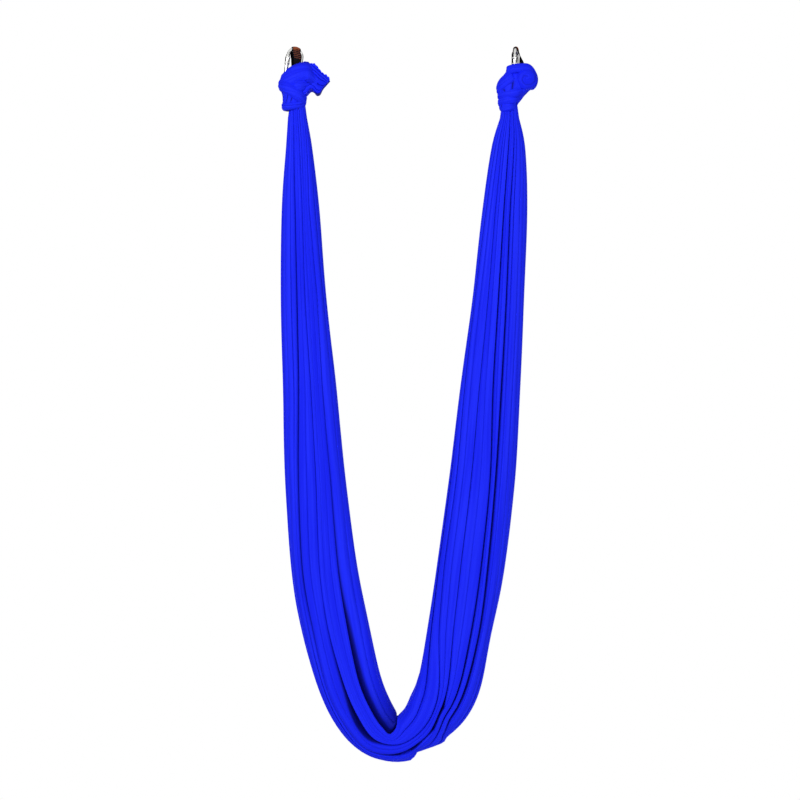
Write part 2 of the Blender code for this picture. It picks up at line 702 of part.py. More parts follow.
def roll_mesh(grow=0.0):
    """The cloth's right end, rolled up: a short fat roll along Y with drawn-in ends."""
    count = 24
    centre = RIGHT.hook + Vector((ROLL_SIDE, 0.0, -ROLL_DROP))
    rings = []
    for along, share in ROLL_PROFILE:
        y = -ROLL_FRONT + (ROLL_FRONT + ROLL_BACK) * along
        ring = []
        for index in range(count):
            angle = 2 * math.pi * index / count
            draw = ROLL_WAVE * (1.0 - math.cos(4 * angle + 5.0 * along))
            radius = (ROLL_RADIUS - draw) * share
            point = centre + Vector((radius * math.cos(angle), y, radius * math.sin(angle)))
            point.x = max(point.x, RIGHT.hook.x + ROLL_PLANE)
            ring.append(point)
        rings.append(ring)
    return grown(loft("roll", rings), grow)


def route_point(route, at):
    """Catmull-Rom point of the route at a place counted in stations."""
    index = min(int(at), len(route) - 2)
    part = at - index
    ends = [route[max(0, min(len(route) - 1, index + step))] for step in (-1, 0, 1, 2)]
    values = []
    for before, start, end, after in zip(*ends):
        slope_in, slope_out = (end - before) / 2, (after - start) / 2
        square, cube = part * part, part * part * part
        value = (2 * cube - 3 * square + 1) * start + (cube - 2 * square + part) * slope_in
        values.append(value + (3 * square - 2 * cube) * end + (cube - square) * slope_out)
    return Station(*values)


def sling_section(centre, across, half_width, half_depth, drift):
    """One ring of gathered cloth: broad lobes on an oval and a crease drawn in between each two."""
    ring = []
    for fold in range(FOLD_COUNT):
        wander = 0.22 * math.sin(drift * 0.9 + fold * 2.4)
        depth = FOLD_DEPTH * (0.75 + 0.25 * math.sin(fold * 2.1 + drift)) * half_width / (SLING_WIDTH / 2)
        for place, draw in ((0.0, depth), (LOBE_EDGE, 0.0), (1.0 - LOBE_EDGE, 0.0)):
            angle = 2 * math.pi * (fold + place + wander) / FOLD_COUNT
            wide = (half_width - draw) * math.cos(angle)
            deep = (half_depth - draw * half_depth / half_width) * math.sin(angle)
            ring.append(centre + across * wide + Vector((0.0, deep, 0.0)))
    return ring


def neck_caps(centre_x, across, drift):
    """Rings of the half cylinder above a neck, which stays under its knot as the sling swings."""
    caps = []
    for degrees in NECK_CAP_ANGLES:
        rise, shrink = math.sin(math.radians(degrees)), math.cos(math.radians(degrees))
        centre = Vector((centre_x, 0.0, NECK_AXIS_Z + NECK_RADIUS * rise))
        caps.append(sling_section(centre, across, NECK_WIDTH / 2, NECK_RADIUS * shrink, drift))
    return caps


def sling():
    """The hanging cloth between the knots, gathered along its length, on its own swing axis."""
    left_x, right_x = LEFT_NECK, HOOK_SPACING + RIGHT_NECK
    middle_x, half_span = (left_x + right_x) / 2, (right_x - left_x) / 2
    last = len(SLING_ROUTE) - 1

    def place(at):
        station = route_point(SLING_ROUTE, max(0.0, min(at, last)))
        return Vector((middle_x + half_span * station.side, 0.0, NECK_AXIS_Z - SLING_DROP * station.drop))

    stops = [SEAT_FROM * index / LEG_RINGS for index in range(1, LEG_RINGS)]
    stops += [SEAT_FROM + (SEAT_TO - SEAT_FROM) * index / SEAT_RINGS for index in range(SEAT_RINGS)]
    stops += [SEAT_TO + (last - SEAT_TO) * index / LEG_RINGS for index in range(LEG_RINGS)]

    rings = neck_caps(left_x, Vector((-1.0, 0.0, 0.0)), 0.0)[::-1]
    rings.append(sling_section(place(0.0), Vector((-1.0, 0.0, 0.0)), NECK_WIDTH / 2, NECK_RADIUS, 0.0))
    for at in stops:
        station = route_point(SLING_ROUTE, at)
        way = (place(at + 0.05) - place(at - 0.05)).normalized()
        across = Vector((way.z, 0.0, -way.x))
        half_width, half_depth = station.width * SLING_WIDTH / 2, station.depth * SLING_DEPTH / 2
        rings.append(sling_section(place(at), across, half_width, half_depth, at * FOLD_DRIFT))
    right_drift = last * FOLD_DRIFT
    right_across = Vector((1.0, 0.0, 0.0))
    rings.append(sling_section(place(last), right_across, NECK_WIDTH / 2, NECK_RADIUS, right_drift))
    rings += neck_caps(right_x, right_across, right_drift)

    made = add_object("sling_cloth", loft("sling", rings), CLOTH)
    axis = Vector((middle_x, 0.0, NECK_AXIS_Z))
    made.data.transform(Matrix.Translation(-axis))
    made.location = axis


def carabiner(side):
    """One carabiner with its webbing, on an empty at its top bow's centre."""
    parent = frame(f"{side.name}_carabiner", side.hook - Vector((0.0, 0.0, SEAT_RISE)), side.turn, side.tilt)
    carabiner_body(side, parent)
    carabiner_gate(side, parent)
    add_object(f"{side.name}_webbing_loop", strap_mesh(side), WEBBING, parent)
    add_object(f"{side.name}_bar_tacks", tack_mesh(side), THREAD, parent)
    return parent


left_frame = carabiner(LEFT)
right_frame = carabiner(RIGHT)

left_knot = knot(LEFT, LEFT_KNOT, LEFT_DRIFT, left_frame)
beside_tail = box_outline(TAIL_PLANE, TAIL_PLANE + BEYOND, -BEYOND, BEYOND)
cut(left_knot, cutter("left_tail_room", prism("slab", beside_tail, -BEYOND, BEYOND)))
left_tail()

right_knot = knot(RIGHT, RIGHT_KNOT, RIGHT_DRIFT, right_frame)
cut(right_knot, cutter("right_roll_room", roll_mesh(grow=GAP)))
right_tail = add_object("right_tail", roll_mesh(), CLOTH)
cut(right_tail, bpy.data.objects["right_webbing_room"])

sling()
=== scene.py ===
"""Looks of an aerial yoga hammock: one long gathered cloth, knotted at both ends round screw-gate carabiners.

Metres, +Z up. The origin is the seat of the left carabiner and the right one's seat lies at +X. The camera
looks along +Y. Places that are given in millimetres are measured from the seat of their own end.
"""

from __future__ import annotations

import logging
import math
from dataclasses import dataclass
from enum import Enum
from typing import Sequence

import bmesh
import bpy
import numpy as np
from mathutils import Matrix, Vector, noise

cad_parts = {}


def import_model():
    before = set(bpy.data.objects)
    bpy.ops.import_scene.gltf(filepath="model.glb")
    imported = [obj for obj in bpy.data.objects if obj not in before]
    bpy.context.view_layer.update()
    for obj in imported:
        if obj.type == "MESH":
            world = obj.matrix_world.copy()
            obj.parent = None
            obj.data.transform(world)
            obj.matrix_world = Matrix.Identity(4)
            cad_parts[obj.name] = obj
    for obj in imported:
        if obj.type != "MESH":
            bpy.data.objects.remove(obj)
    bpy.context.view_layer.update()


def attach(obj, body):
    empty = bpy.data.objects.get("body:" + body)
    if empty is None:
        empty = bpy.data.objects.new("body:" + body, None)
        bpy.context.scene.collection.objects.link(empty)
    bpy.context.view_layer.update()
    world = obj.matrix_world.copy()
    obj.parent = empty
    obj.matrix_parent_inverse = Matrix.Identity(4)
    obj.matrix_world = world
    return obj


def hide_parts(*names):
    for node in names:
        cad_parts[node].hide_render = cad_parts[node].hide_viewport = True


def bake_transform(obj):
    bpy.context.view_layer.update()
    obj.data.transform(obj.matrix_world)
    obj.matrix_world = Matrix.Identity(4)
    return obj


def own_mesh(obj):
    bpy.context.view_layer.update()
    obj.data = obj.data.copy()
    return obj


LOG = logging.getLogger("hammock")
MM = 0.001
Colour = tuple[float, float, float]
Keys = Sequence[tuple[float, float]]
Array = np.ndarray
Material = bpy.types.Material
Node = bpy.types.Node
Piece = bpy.types.Object
Socket = bpy.types.NodeSocket
Tree = bpy.types.NodeTree

# The frame's own sizes, which the pieces here are fitted to
HOOK_SPACING = 0.663
GAP = 0.3 * MM
LEFT_NECK, RIGHT_NECK = 7.5 * MM, -19.5 * MM
NECK_AXIS_Z = -0.2033
SLING_DROP = 1.859
SLING_WIDTH, SLING_DEPTH = 0.200, 0.118

# The sling's stations run from 0 to 22, and values between its keys are worked out on this finer row
FINE_STATIONS = np.linspace(-1.5, 23.5, 1201)


class Slot(Enum):
    """Material slots of the record."""

    STEEL = "carabiner_steel"
    PIN = "pin_steel"
    WEBBING = "webbing"
    THREAD = "thread"
    CLOTH = "cloth"


class End(Enum):
    """The two ends of the hammock, by the prefix of their pieces."""

    LEFT = "left"
    RIGHT = "right"


class Graph:
    """Short hand for filling a node tree."""

    def __init__(self, tree: Tree) -> None:
        """Take the tree that is to be filled."""
        self.tree = tree

    def node(self, kind: str, inputs: dict | None = None, **settings: object) -> Node:
        """Add one node.

        Args:
            kind: The node's type name.
            inputs: Values or sockets by the input's name or number.
            settings: Properties of the node.

        Returns:
            The new node.
        """
        made = self.tree.nodes.new(kind)
        for name, value in settings.items():
            setattr(made, name, value)
        for key, value in (inputs or {}).items():
            if isinstance(value, Socket):
                self.tree.links.new(value, made.inputs[key])
            else:
                made.inputs[key].default_value = value
        return made

    def math(self, operation: str, *values: Socket | float) -> Socket:
        """Return the result of a Math node."""
        return self.node("ShaderNodeMath", dict(enumerate(values)), operation=operation).outputs[0]

    def remap(self, value: Socket, start: float, end: float, low: float, high: float) -> Socket:
        """Map a value from start..end to low..high, smooth and clamped.

        Args:
            value: The value to map.
            start: Where the result is low.
            end: Where the result is high.
            low: Result at start.
            high: Result at end.

        Returns:
            The mapped value.
        """
        made = self.node("ShaderNodeMapRange", {0: value}, interpolation_type="SMOOTHSTEP")
        for index, number in enumerate((start, end, low, high), 1):
            made.inputs[index].default_value = number
        return made.outputs[0]

    def mix(self, share: Socket | float, first: Socket | Colour, second: Socket | Colour) -> Socket:
        """Mix two colours.

        Args:
            share: How much of the second there is.
            first: Colour at 0.
            second: Colour at 1.

        Returns:
            The mixed colour.
        """
        colours = [each if isinstance(each, Socket) else (*each, 1.0) for each in (first, second)]
        made = self.node("ShaderNodeMix", {0: share, 6: colours[0], 7: colours[1]}, data_type="RGBA")
        return made.outputs[2]

    def grain(self, vector: Socket, scale: Socket | float, detail: float) -> Socket:
        """Return smooth noise that is read on a vector."""
        inputs = {"Vector": vector, "Scale": scale, "Detail": detail}
        return self.node("ShaderNodeTexNoise", inputs).outputs[0]

    def stretched_grain(self, vector: Socket, scale: tuple, detail: float = 3.0) -> Socket:
        """Return noise on a vector that is scaled by its own factor along each axis."""
        spread = self.node("ShaderNodeMapping", {"Vector": vector, "Scale": scale}).outputs[0]
        return self.grain(spread, 1.0, detail)

    def effect(self, group: Tree, vector: Socket, **values: float) -> Socket:
        """Return the result of a shader group that is read on a vector."""
        return self.node("ShaderNodeGroup", {"Vector": vector, **values}, node_tree=group).outputs[0]


def node_group(kind: str, name: str, inputs: dict[str, tuple], output: str) -> tuple[Graph, dict, Socket]:
    """Start a group that takes a Geometry or a Vector first, and numbers or a material after it.

    Args:
        kind: "Geometry" or "Shader".
        name: The group's name.
        inputs: Socket type and default of each input after the first, by its name.
        output: Name of its output.

    Returns:
        The group's graph, its input sockets by name and the socket that takes its result.
    """
    tree = bpy.data.node_groups.new(name, f"{kind}NodeTree")
    start, end = ("Geometry", "Geometry") if kind == "Geometry" else ("Vector", "Float")
    for key, (socket_type, value) in {start: (start, None), **inputs}.items():
        socket = tree.interface.new_socket(key, in_out="INPUT", socket_type=f"NodeSocket{socket_type}")
        if value is not None:
            socket.default_value = value
    tree.interface.new_socket(output, in_out="OUTPUT", socket_type=f"NodeSocket{end}")
    entry, leave = tree.nodes.new("NodeGroupInput"), tree.nodes.new("NodeGroupOutput")
    return Graph(tree), {each.name: each for each in entry.outputs if each.name}, leave.inputs[0]


def streak_group() -> Tree:
    """Lengthwise streaks and soft blotches, as on stretched cloth or drawn wire.

    Returns:
        The group, with a Shade output from 0 to 1.
    """
    inputs = {"Across": ("Float", 140.0), "Along": ("Float", 3.0)}
    graph, entry, leave = node_group("Shader", "streaks", inputs, "Shade")
    scale = graph.node("ShaderNodeCombineXYZ", {0: entry["Across"], 1: entry["Along"], 2: entry["Along"]})
    factors = {0: entry["Vector"], 1: scale.outputs[0]}
    spread = graph.node("ShaderNodeVectorMath", factors, operation="MULTIPLY").outputs[0]
    fine, broad = graph.grain(spread, 1.0, 4.0), graph.grain(spread, 0.21, 1.0)
    both = graph.math("MULTIPLY_ADD", broad, 0.4, graph.math("MULTIPLY", fine, 0.6))
    graph.tree.links.new(graph.remap(both, 0.32, 0.68, 0.0, 1.0), leave)
    return graph.tree


def weave_group() -> Tree:
    """Threads that cross on a flat map, in metres.

    Returns:
        The group, with a Height output from 0 to 1.
    """
    inputs = {"Wide": ("Float", 1.2 * MM), "Long": ("Float", 1.2 * MM)}
    graph, entry, leave = node_group("Shader", "crossing_threads", inputs, "Height")
    parts = graph.node("ShaderNodeSeparateXYZ", {0: entry["Vector"]})
    across = graph.math("MULTIPLY", graph.math("DIVIDE", parts.outputs[0], entry["Wide"]), math.tau)
    along = graph.math("MULTIPLY", graph.math("DIVIDE", parts.outputs[1], entry["Long"]), math.tau)
    crossed = graph.math("MULTIPLY", graph.math("SINE", across), graph.math("SINE", along))
    graph.tree.links.new(graph.math("MULTIPLY_ADD", crossed, 0.5, 0.5), leave)
    return graph.tree


def wear_group() -> Tree:
    """Fine rubbed scratches with patches of heavier wear, on object coordinates.

    Returns:
        The group, with a Wear output from 0 to 1.
    """
    inputs = {"Scratches": ("Float", 900.0), "Patches": ("Float", 45.0)}
    graph, entry, leave = node_group("Shader", "rubbed_wear", inputs, "Wear")
    scratches = graph.grain(entry["Vector"], entry["Scratches"], 3.0)
    patches = graph.grain(entry["Vector"], entry["Patches"], 4.0)
    rubbed = graph.math("MULTIPLY", graph.remap(scratches, 0.5, 0.7, 0.0, 1.0), patches)
    graph.tree.links.new(graph.math("MULTIPLY_ADD", patches, 0.35, rubbed), leave)
    return graph.tree


class Effects:
    """The shader groups that several finishes share, each built once."""

    def __init__(self) -> None:
        """Build all groups."""
        self.streaks = streak_group()
        self.weave = weave_group()
        self.wear = wear_group()


def new_finish(name: str) -> tuple[Material, Graph, Node]:
    """Start a material.

    Args:
        name: Its name.

    Returns:
        The material, its graph and its Principled shader.
    """
    made = bpy.data.materials.new(name)
    made.use_nodes = True
    return made, Graph(made.node_tree), made.node_tree.nodes["Principled BSDF"]


def join_shader(graph: Graph, shader: Node, links: dict, bump: dict, plain: dict) -> None:
    """Feed a shader.

    Args:
        graph: The material's graph.
        shader: Its Principled shader.
        links: Sockets by the shader's input.
        bump: Inputs of the Bump node for its Normal.
        plain: Values that are the same all over, by the shader's input.
    """
    for key, value in links.items():
        graph.tree.links.new(value, shader.inputs[key])
    graph.tree.links.new(graph.node("ShaderNodeBump", bump).outputs[0], shader.inputs["Normal"])
    for key, value in plain.items():
        shader.inputs[key].default_value = value


@dataclass(frozen=True)
class Tricot:
    """Blue nylon tricot: fine ribs, faint lengthwise streaks, a soft sheen and painted shade in its creases.
    """

    name: str = "blue_tricot"
    light: Colour = (0.0105, 0.024, 0.97)
    dark: Colour = (0.0035, 0.009, 0.80)
    # Near-black navy that is painted into the creases as shade
    painted_shade: Colour = (0.0004, 0.0010, 0.13)
    roughness: float = 0.62
    rib: float = 1.6 * MM

    def build(self, effects: Effects) -> Material:
        """Build the material, which reads the piece's UV map in metres and paints crease shade from the fold
        attribute.

        Args:
            effects: The shared shader groups.

        Returns:
            The material.
        """
        made, graph, shader = new_finish(self.name)
        uv = graph.node("ShaderNodeUVMap", uv_map="UVMap").outputs[0]
        streaks = graph.effect(effects.streaks, uv, Across=150.0, Along=3.2)
        knit = graph.effect(effects.weave, uv, Wide=self.rib, Long=self.rib * 0.8)
        wrinkles = graph.stretched_grain(uv, (34.0, 9.0, 1.0), 5.0)
        colour = graph.mix(graph.remap(streaks, 0.0, 1.0, 0.0, 0.62), self.light, self.dark)
        # Painted shade: the fold attribute darkens the colour towards near-black navy in the creases
        fold = graph.node("ShaderNodeAttribute", attribute_name="fold").outputs["Fac"]
        colour = graph.mix(graph.remap(fold, 0.0, 1.0, 0.0, 0.92), colour, self.painted_shade)
        rough = graph.remap(streaks, 0.0, 1.0, self.roughness - 0.06, self.roughness + 0.1)
        height = graph.math("MULTIPLY_ADD", knit, 0.05, graph.math("MULTIPLY_ADD", wrinkles, 0.9, streaks))
        links = {"Base Color": colour, "Roughness": rough}
        bump = {"Height": height, "Strength": 0.34, "Distance": 0.9 * MM}
        sheen = {"Sheen Weight": 0.04, "Sheen Roughness": 0.45, "Sheen Tint": (0.25, 0.35, 1.0, 1.0)}
        join_shader(graph, shader, links, bump, {"Specular IOR Level": 0.08, **sheen})
        return made


@dataclass(frozen=True)
class Steel:
    """Bright steel with fine rubbed scratches and painted dark edges from a dark reflection tint at grazing
    angles.
    """

    name: str = "polished_steel"
    light: Colour = (0.70, 0.70, 0.69)
    dark: Colour = (0.50, 0.50, 0.50)
    smooth: float = 0.14
    rubbed: float = 0.34
    # Tint of the reflection at grazing angles, dark to paint shade along the steel's edges
    rim: Colour = (0.12, 0.12, 0.11)

    def build(self, effects: Effects) -> Material:
        """Build the material, which reads object coordinates.

        Args:
            effects: The shared shader groups.

        Returns:
            The material.
        """
        made, graph, shader = new_finish(self.name)
        place = graph.node("ShaderNodeTexCoord").outputs["Object"]
        wear = graph.effect(effects.wear, place, Scratches=900.0, Patches=48.0)
        links = {
            "Base Color": graph.mix(wear, self.light, self.dark),
            "Roughness": graph.remap(wear, 0.0, 0.9, self.smooth, self.rubbed),
        }
        bump = {"Height": wear, "Strength": 0.08, "Distance": 0.2 * MM}
        # Painted shade: the dark specular tint darkens the steel where it is seen edge-on
        join_shader(graph, shader, links, bump, {"Metallic": 1.0, "Specular Tint": (*self.rim, 1.0)})
        return made


@dataclass(frozen=True)
class BlackWebbing:
    """Black nylon webbing, with an orange-brown crown where the sewing comes through over the bow."""

    name: str = "black_webbing"
    light: Colour = (0.009, 0.009, 0.013)
    dark: Colour = (0.002, 0.002, 0.004)
    crown: Colour = (0.46, 0.11, 0.030)
    crown_from: float = 0.5 * MM
    crown_to: float = 8.0 * MM
    edge: float = 10.5 * MM

    def build(self, effects: Effects) -> Material:
        """Build the material, which reads the strap's UV map in metres and its place.

        Args:
            effects: The shared shader groups.

        Returns:
            The material.
        """
        made, graph, shader = new_finish(self.name)
        uv = graph.node("ShaderNodeUVMap", uv_map="UVMap").outputs[0]
        threads = graph.effect(effects.weave, uv, Wide=1.1 * MM, Long=1.5 * MM)
        streaks = graph.effect(effects.streaks, uv, Across=900.0, Along=60.0)
        black = graph.mix(graph.math("MULTIPLY", threads, streaks), self.dark, self.light)
        place = graph.node("ShaderNodeTexCoord").outputs["Object"]
        level = graph.node("ShaderNodeSeparateXYZ", {0: place}).outputs[2]
        ragged = graph.math("MULTIPLY_ADD", streaks, 3.0 * MM, level)
        high = graph.remap(ragged, self.crown_from, self.crown_to, 0.0, 1.0)
        aside = graph.math("ABSOLUTE", graph.node("ShaderNodeSeparateXYZ", {0: uv}).outputs[0])
        inside = graph.remap(aside, self.edge, self.edge + 1.2 * MM, 1.0, 0.0)
        tinted = graph.math("MULTIPLY", graph.math("MULTIPLY", high, inside), 0.9)
        height = graph.math("MULTIPLY_ADD", streaks, 0.3, threads)
        links = {"Base Color": graph.mix(tinted, black, self.crown)}
        bump = {"Height": height, "Strength": 0.7, "Distance": 0.35 * MM}
        join_shader(graph, shader, links, bump, {"Roughness": 0.82, "Specular IOR Level": 0.10})
        return made


@dataclass(frozen=True)
class Thread:
    """Sewing thread with a fibre twist."""

    name: str
    light: Colour
    dark: Colour

    def build(self, effects: Effects) -> Material:
        """Build the material, which reads object coordinates.

        Args:
            effects: The shared shader groups.

        Returns:
            The material.
        """
        made, graph, shader = new_finish(self.name)
        place = graph.node("ShaderNodeTexCoord").outputs["Object"]
        fibres = graph.effect(effects.streaks, place, Across=2600.0, Along=2600.0)
        links = {"Base Color": graph.mix(fibres, self.light, self.dark)}
        bump = {"Height": fibres, "Strength": 0.6, "Distance": 0.2 * MM}
        join_shader(graph, shader, links, bump, {"Roughness": 0.7})
        return made


def linked(name: str, data: bpy.types.ID) -> Piece:
    """Put data into the scene.

    Args:
        name: The object's name.
        data: Its mesh, light or camera.

    Returns:
        The new object.
    """
    made = bpy.data.objects.new(name, data)
    bpy.context.scene.collection.objects.link(made)
    return made


def build_object(
    name: str, points: Array, faces: Sequence, finish: Material, uvs: Array | None = None,
    fold: Array | None = None,
) -> Piece:
    """Make a smooth mesh object and link it.

    Args:
        name: The piece's name.
        points: Its corners, one row each.
        faces: Corner numbers of each face.
        finish: Its material.
        uvs: Flat place of each corner in metres, if it has a map.
        fold: Painted crease shade of each corner, from 0 to 1, on cloth, where it lies deep in a fold.

    Returns:
        The object.
    """
    mesh = bpy.data.meshes.new(name)
    mesh.from_pydata(np.asarray(points, dtype=float).tolist(), [], [tuple(face) for face in faces])
    if uvs is not None:
        corner = np.zeros(len(mesh.loops), dtype=np.int32)
        mesh.loops.foreach_get("vertex_index", corner)
        flat = np.asarray(uvs, dtype=np.float32)[corner]
        mesh.uv_layers.new(name="UVMap").data.foreach_set("uv", flat.ravel())
    if fold is not None:
        # Painted crease shade, which the cloth's material reads as its fold attribute
        layer = mesh.attributes.new("fold", "FLOAT", "POINT")
        layer.data.foreach_set("value", np.asarray(fold, dtype=np.float32).ravel())
    mesh.materials.append(finish)
    mesh.shade_smooth()
    return linked(name, mesh)


def grid_faces(rows: int, columns: int, wrap: bool = False) -> list[tuple[int, ...]]:
    """Quads of a grid of corners.

    Args:
        rows: Rows of corners.
        columns: Corners in each row.
        wrap: Whether each row closes on itself.

    Returns:
        The faces, each turned the same way.
    """
    faces = []
    for row in range(rows - 1):
        for column in range(columns if wrap else columns - 1):
            after = (column + 1) % columns
            low, high = row * columns, (row + 1) * columns
            faces.append((low + column, low + after, high + after, high + column))
    return faces


def smooth_between(table: Array, at: Array) -> Array:
    """Catmull-Rom values of a table at places counted in its rows.

    Args:
        table: One row of values for each stop.
        at: Places, held inside the table.

    Returns:
        One row of values for each place.
    """
    last = len(table) - 1
    at = np.clip(at, 0.0, last)
    index = np.minimum(at.astype(int), last - 1)
    part = (at - index)[:, None]
    before, start, end, after = (table[np.clip(index + step, 0, last)] for step in (-1, 0, 1, 2))
    square, cube = part**2, part**3
    value = (2 * cube - 3 * square + 1) * start + (cube - 2 * square + part) * (end - before) / 2
    return value + (3 * square - 2 * cube) * end + (cube - square) * (after - start) / 2


def smooth_step(value: Array) -> Array:
    """Smooth rise from 0 to 1 for values from 0 to 1."""
    value = np.clip(value, 0.0, 1.0)
    return value * value * (3.0 - 2.0 * value)


def unit(vectors: Array) -> Array:
    """Return vectors of length 1 that point the same way."""
    return vectors / np.linalg.norm(vectors, axis=-1, keepdims=True)


def summed(steps: Array) -> Array:
    """Return the running sum of steps, which starts at 0."""
    return np.concatenate(([0.0], np.cumsum(steps)))


def run_along(line: Array) -> Array:
    """Return the length from a line's start to each of its points."""
    return summed(np.linalg.norm(np.diff(line, axis=0), axis=1))


def read_at(stops: Array, run: Array, line: Array) -> Array:
    """Return the points of a line at some lengths, from the length that each of its own has."""
    return np.stack([np.interp(stops, run, values) for values in line.T], axis=1)


def soft_noise(first: Array | float, second: Array | float, third: float) -> Array:
    """Return smooth noise, from -1 to 1, at places of which some coordinates are rows of values."""
    places = np.stack(np.broadcast_arrays(first, second, third), axis=-1)
    return np.array([noise.noise(Vector(place)) for place in places])


def keyed(keys: Keys, at: Array, soften: float = 0.5) -> Array:
    """Values between keys, rounded off at each key.

    Args:
        keys: Stations with their values.
        at: Stations that are asked for.
        soften: Half of the stretch that is rounded, in stations.

    Returns:
        The value at each station.
    """
    line = np.interp(FINE_STATIONS, *zip(*keys))
    reach = int(soften / (FINE_STATIONS[1] - FINE_STATIONS[0]))
    window = np.hanning(2 * reach + 3)
    line = np.convolve(np.pad(line, reach + 1, mode="edge"), window / window.sum(), mode="valid")
    return np.interp(at, FINE_STATIONS, line)


def add_modifier(host: Piece, tree: Tree, values: dict) -> None:
    """Put a geometry tree on an object and set its inputs.

    Args:
        host: The object.
        tree: The tree.
        values: Values by the name of the tree's input.
    """
    step = host.modifiers.new(tree.name, "NODES")
    step.node_group = tree
    for item in tree.interface.items_tree:
        if item.in_out == "INPUT" and item.name in values:
            step[item.identifier] = values[item.name]


def applied(host: Piece, name: str) -> Piece:
    """Replace an object by its evaluated mesh.

    Args:
        host: The object with its modifiers, which is removed.
        name: Name of the piece that is left.

    Returns:
        The piece, with no modifier.
    """
    graph = bpy.context.evaluated_depsgraph_get()
    graph.update()
    mesh = bpy.data.meshes.new_from_object(host.evaluated_get(graph))
    mesh.name = name
    bpy.data.objects.remove(host, do_unlink=True)
    return linked(name, mesh)


def end_tree(graph: Graph, shape: Socket, finish: Socket, leave: Socket) -> Tree:
    """End a geometry tree with one real, smooth mesh in its finish.

    Args:
        graph: The tree's graph.
        shape: What the tree has made.
        finish: The material.
        leave: The socket that takes its result.

    Returns:
        The tree.
    """
    real = graph.node("GeometryNodeRealizeInstances", {0: shape}).outputs[0]
    smooth = graph.node("GeometryNodeSetShadeSmooth", {0: real}).outputs[0]
    dressed = graph.node("GeometryNodeSetMaterial", {"Geometry": smooth, "Material": finish}).outputs[0]
    graph.tree.links.new(dressed, leave)
    return graph.tree


def bead_tree() -> Tree:
    """A rounded bead on every corner of a mesh, laid by the vectors "along" and "out" that it carries.

    Returns:
        The tree, with inputs Length, Width, Height, Rounding and Finish.
    """
    sizes = {"Length": ("Float", 3 * MM), "Width": ("Float", MM), "Height": ("Float", MM)}
    others = {"Rounding": ("Int", 2), "Finish": ("Material", None)}
    graph, entry, leave = node_group("Geometry", "laid_beads", {**sizes, **others}, "Geometry")
    ball = {"Radius": 0.5, "Subdivisions": entry["Rounding"]}
    bead = graph.node("GeometryNodeMeshIcoSphere", ball).outputs[0]
    names = [
        graph.node("GeometryNodeInputNamedAttribute", {"Name": key}, data_type="FLOAT_VECTOR").outputs[0]
        for key in ("along", "out")
    ]
    kind = "FunctionNodeAlignRotationToVector"
    turn = graph.node(kind, {"Vector": names[0]}, axis="X").outputs[0]
    turn = graph.node(kind, {"Rotation": turn, "Vector": names[1]}, axis="Z", pivot_axis="X").outputs[0]
    size = graph.node("ShaderNodeCombineXYZ", dict(enumerate(entry[key] for key in sizes))).outputs[0]
    inputs = {"Points": entry["Geometry"], "Instance": bead, "Rotation": turn, "Scale": size}
    laid = graph.node("GeometryNodeInstanceOnPoints", inputs).outputs[0]
    return end_tree(graph, laid, entry["Finish"], leave)


class Beads:
    """Stitches and ribs: rounded beads laid by one geometry tree."""

    def __init__(self) -> None:
        """Build the tree once."""
        self.tree = bead_tree()

    def lay(
        self, name: str, places: Sequence, along: Sequence, out: Sequence, size: tuple, finish: Material,
        rounding: int = 2,
    ) -> Piece:
        """Lay one bead at each place.

        Args:
            name: Name of the piece.
            places: Centre of each bead.
            along: Its long direction.
            out: Its direction away from the surface.
            size: Length, width and height.
            finish: Its material.
            rounding: How often its 20 faces are split: 1 leaves them, 2 makes 80.

        Returns:
            The beads as one plain mesh.
        """
        host = build_object(f"{name}_places", np.array(places), [], finish)
        for key, vectors in (("along", along), ("out", out)):
            layer = host.data.attributes.new(key, "FLOAT_VECTOR", "POINT")
            layer.data.foreach_set("vector", np.asarray(vectors, dtype=np.float32).ravel())
        values = dict(zip(("Length", "Width", "Height"), size))
        add_modifier(host, self.tree, {**values, "Rounding": rounding, "Finish": finish})
        return applied(host, name)


def face_outwards(piece: Piece, merge: float = 0.0) -> None:
    """Turn the faces of closed shells out.

    Args:
        piece: The piece.
        merge: Corners that are nearer than this are merged first.
    """
    work = bmesh.new()
    work.from_mesh(piece.data)
    if merge:
        bmesh.ops.remove_doubles(work, verts=work.verts, dist=merge)
    bmesh.ops.recalc_face_normals(work, faces=work.faces)
    work.to_mesh(piece.data)
    work.free()


def loft_object(
    name: str, rings: Array, finish: Material, closed: bool = False, uvs: Array | None = None,
    fold: Array | None = None,
) -> Piece:
    """Skin rings of equal count into a closed solid whose faces point out.

    Args:
        name: The piece's name.
        rings: Corners by ring and place round it.
        finish: Its material.
        closed: Whether the last ring meets the first.
        uvs: Flat places of the corners, like the rings.
        fold: Painted crease shade of the corners, where they lie deep in a fold, like the rings.

    Returns:
        The object.
    """
    count, around = rings.shape[:2]
    faces = grid_faces(count, around, wrap=True)
    if closed:
        last = (count - 1) * around
        faces += [(last + i, last + (i + 1) % around, (i + 1) % around, i) for i in range(around)]
    else:
        faces += [tuple(range(around))[::-1], tuple(range((count - 1) * around, count * around))]
    flat = None if uvs is None else uvs.reshape(-1, 2)
    made = build_object(name, rings.reshape(-1, 3), faces, finish, flat, fold)
    face_outwards(made)
    return made


def shaped(
    target: Piece, tools: Sequence[tuple], name: str, angle: float = 35.0, crossing: bool = False
) -> Piece:
    """Join other solids to a solid or cut them out of it.

    Args:
        target: The solid.
        tools: Each other solid with "UNION" or "DIFFERENCE".
        name: Name of the piece that is left.
        angle: Edges sharper than this many degrees are shaded sharp.
        crossing: Whether the piece crosses itself, as gathered cloth does.

    Returns:
        The piece. The tools stay.
    """
    for tool, operation in tools:
        step = target.modifiers.new(tool.name, "BOOLEAN")
        step.operation = operation
        step.solver = "EXACT"
        step.use_self = crossing
        step.object = tool
    made = applied(target, name)
    made.data.set_sharp_from_angle(angle=math.radians(angle))
    return made


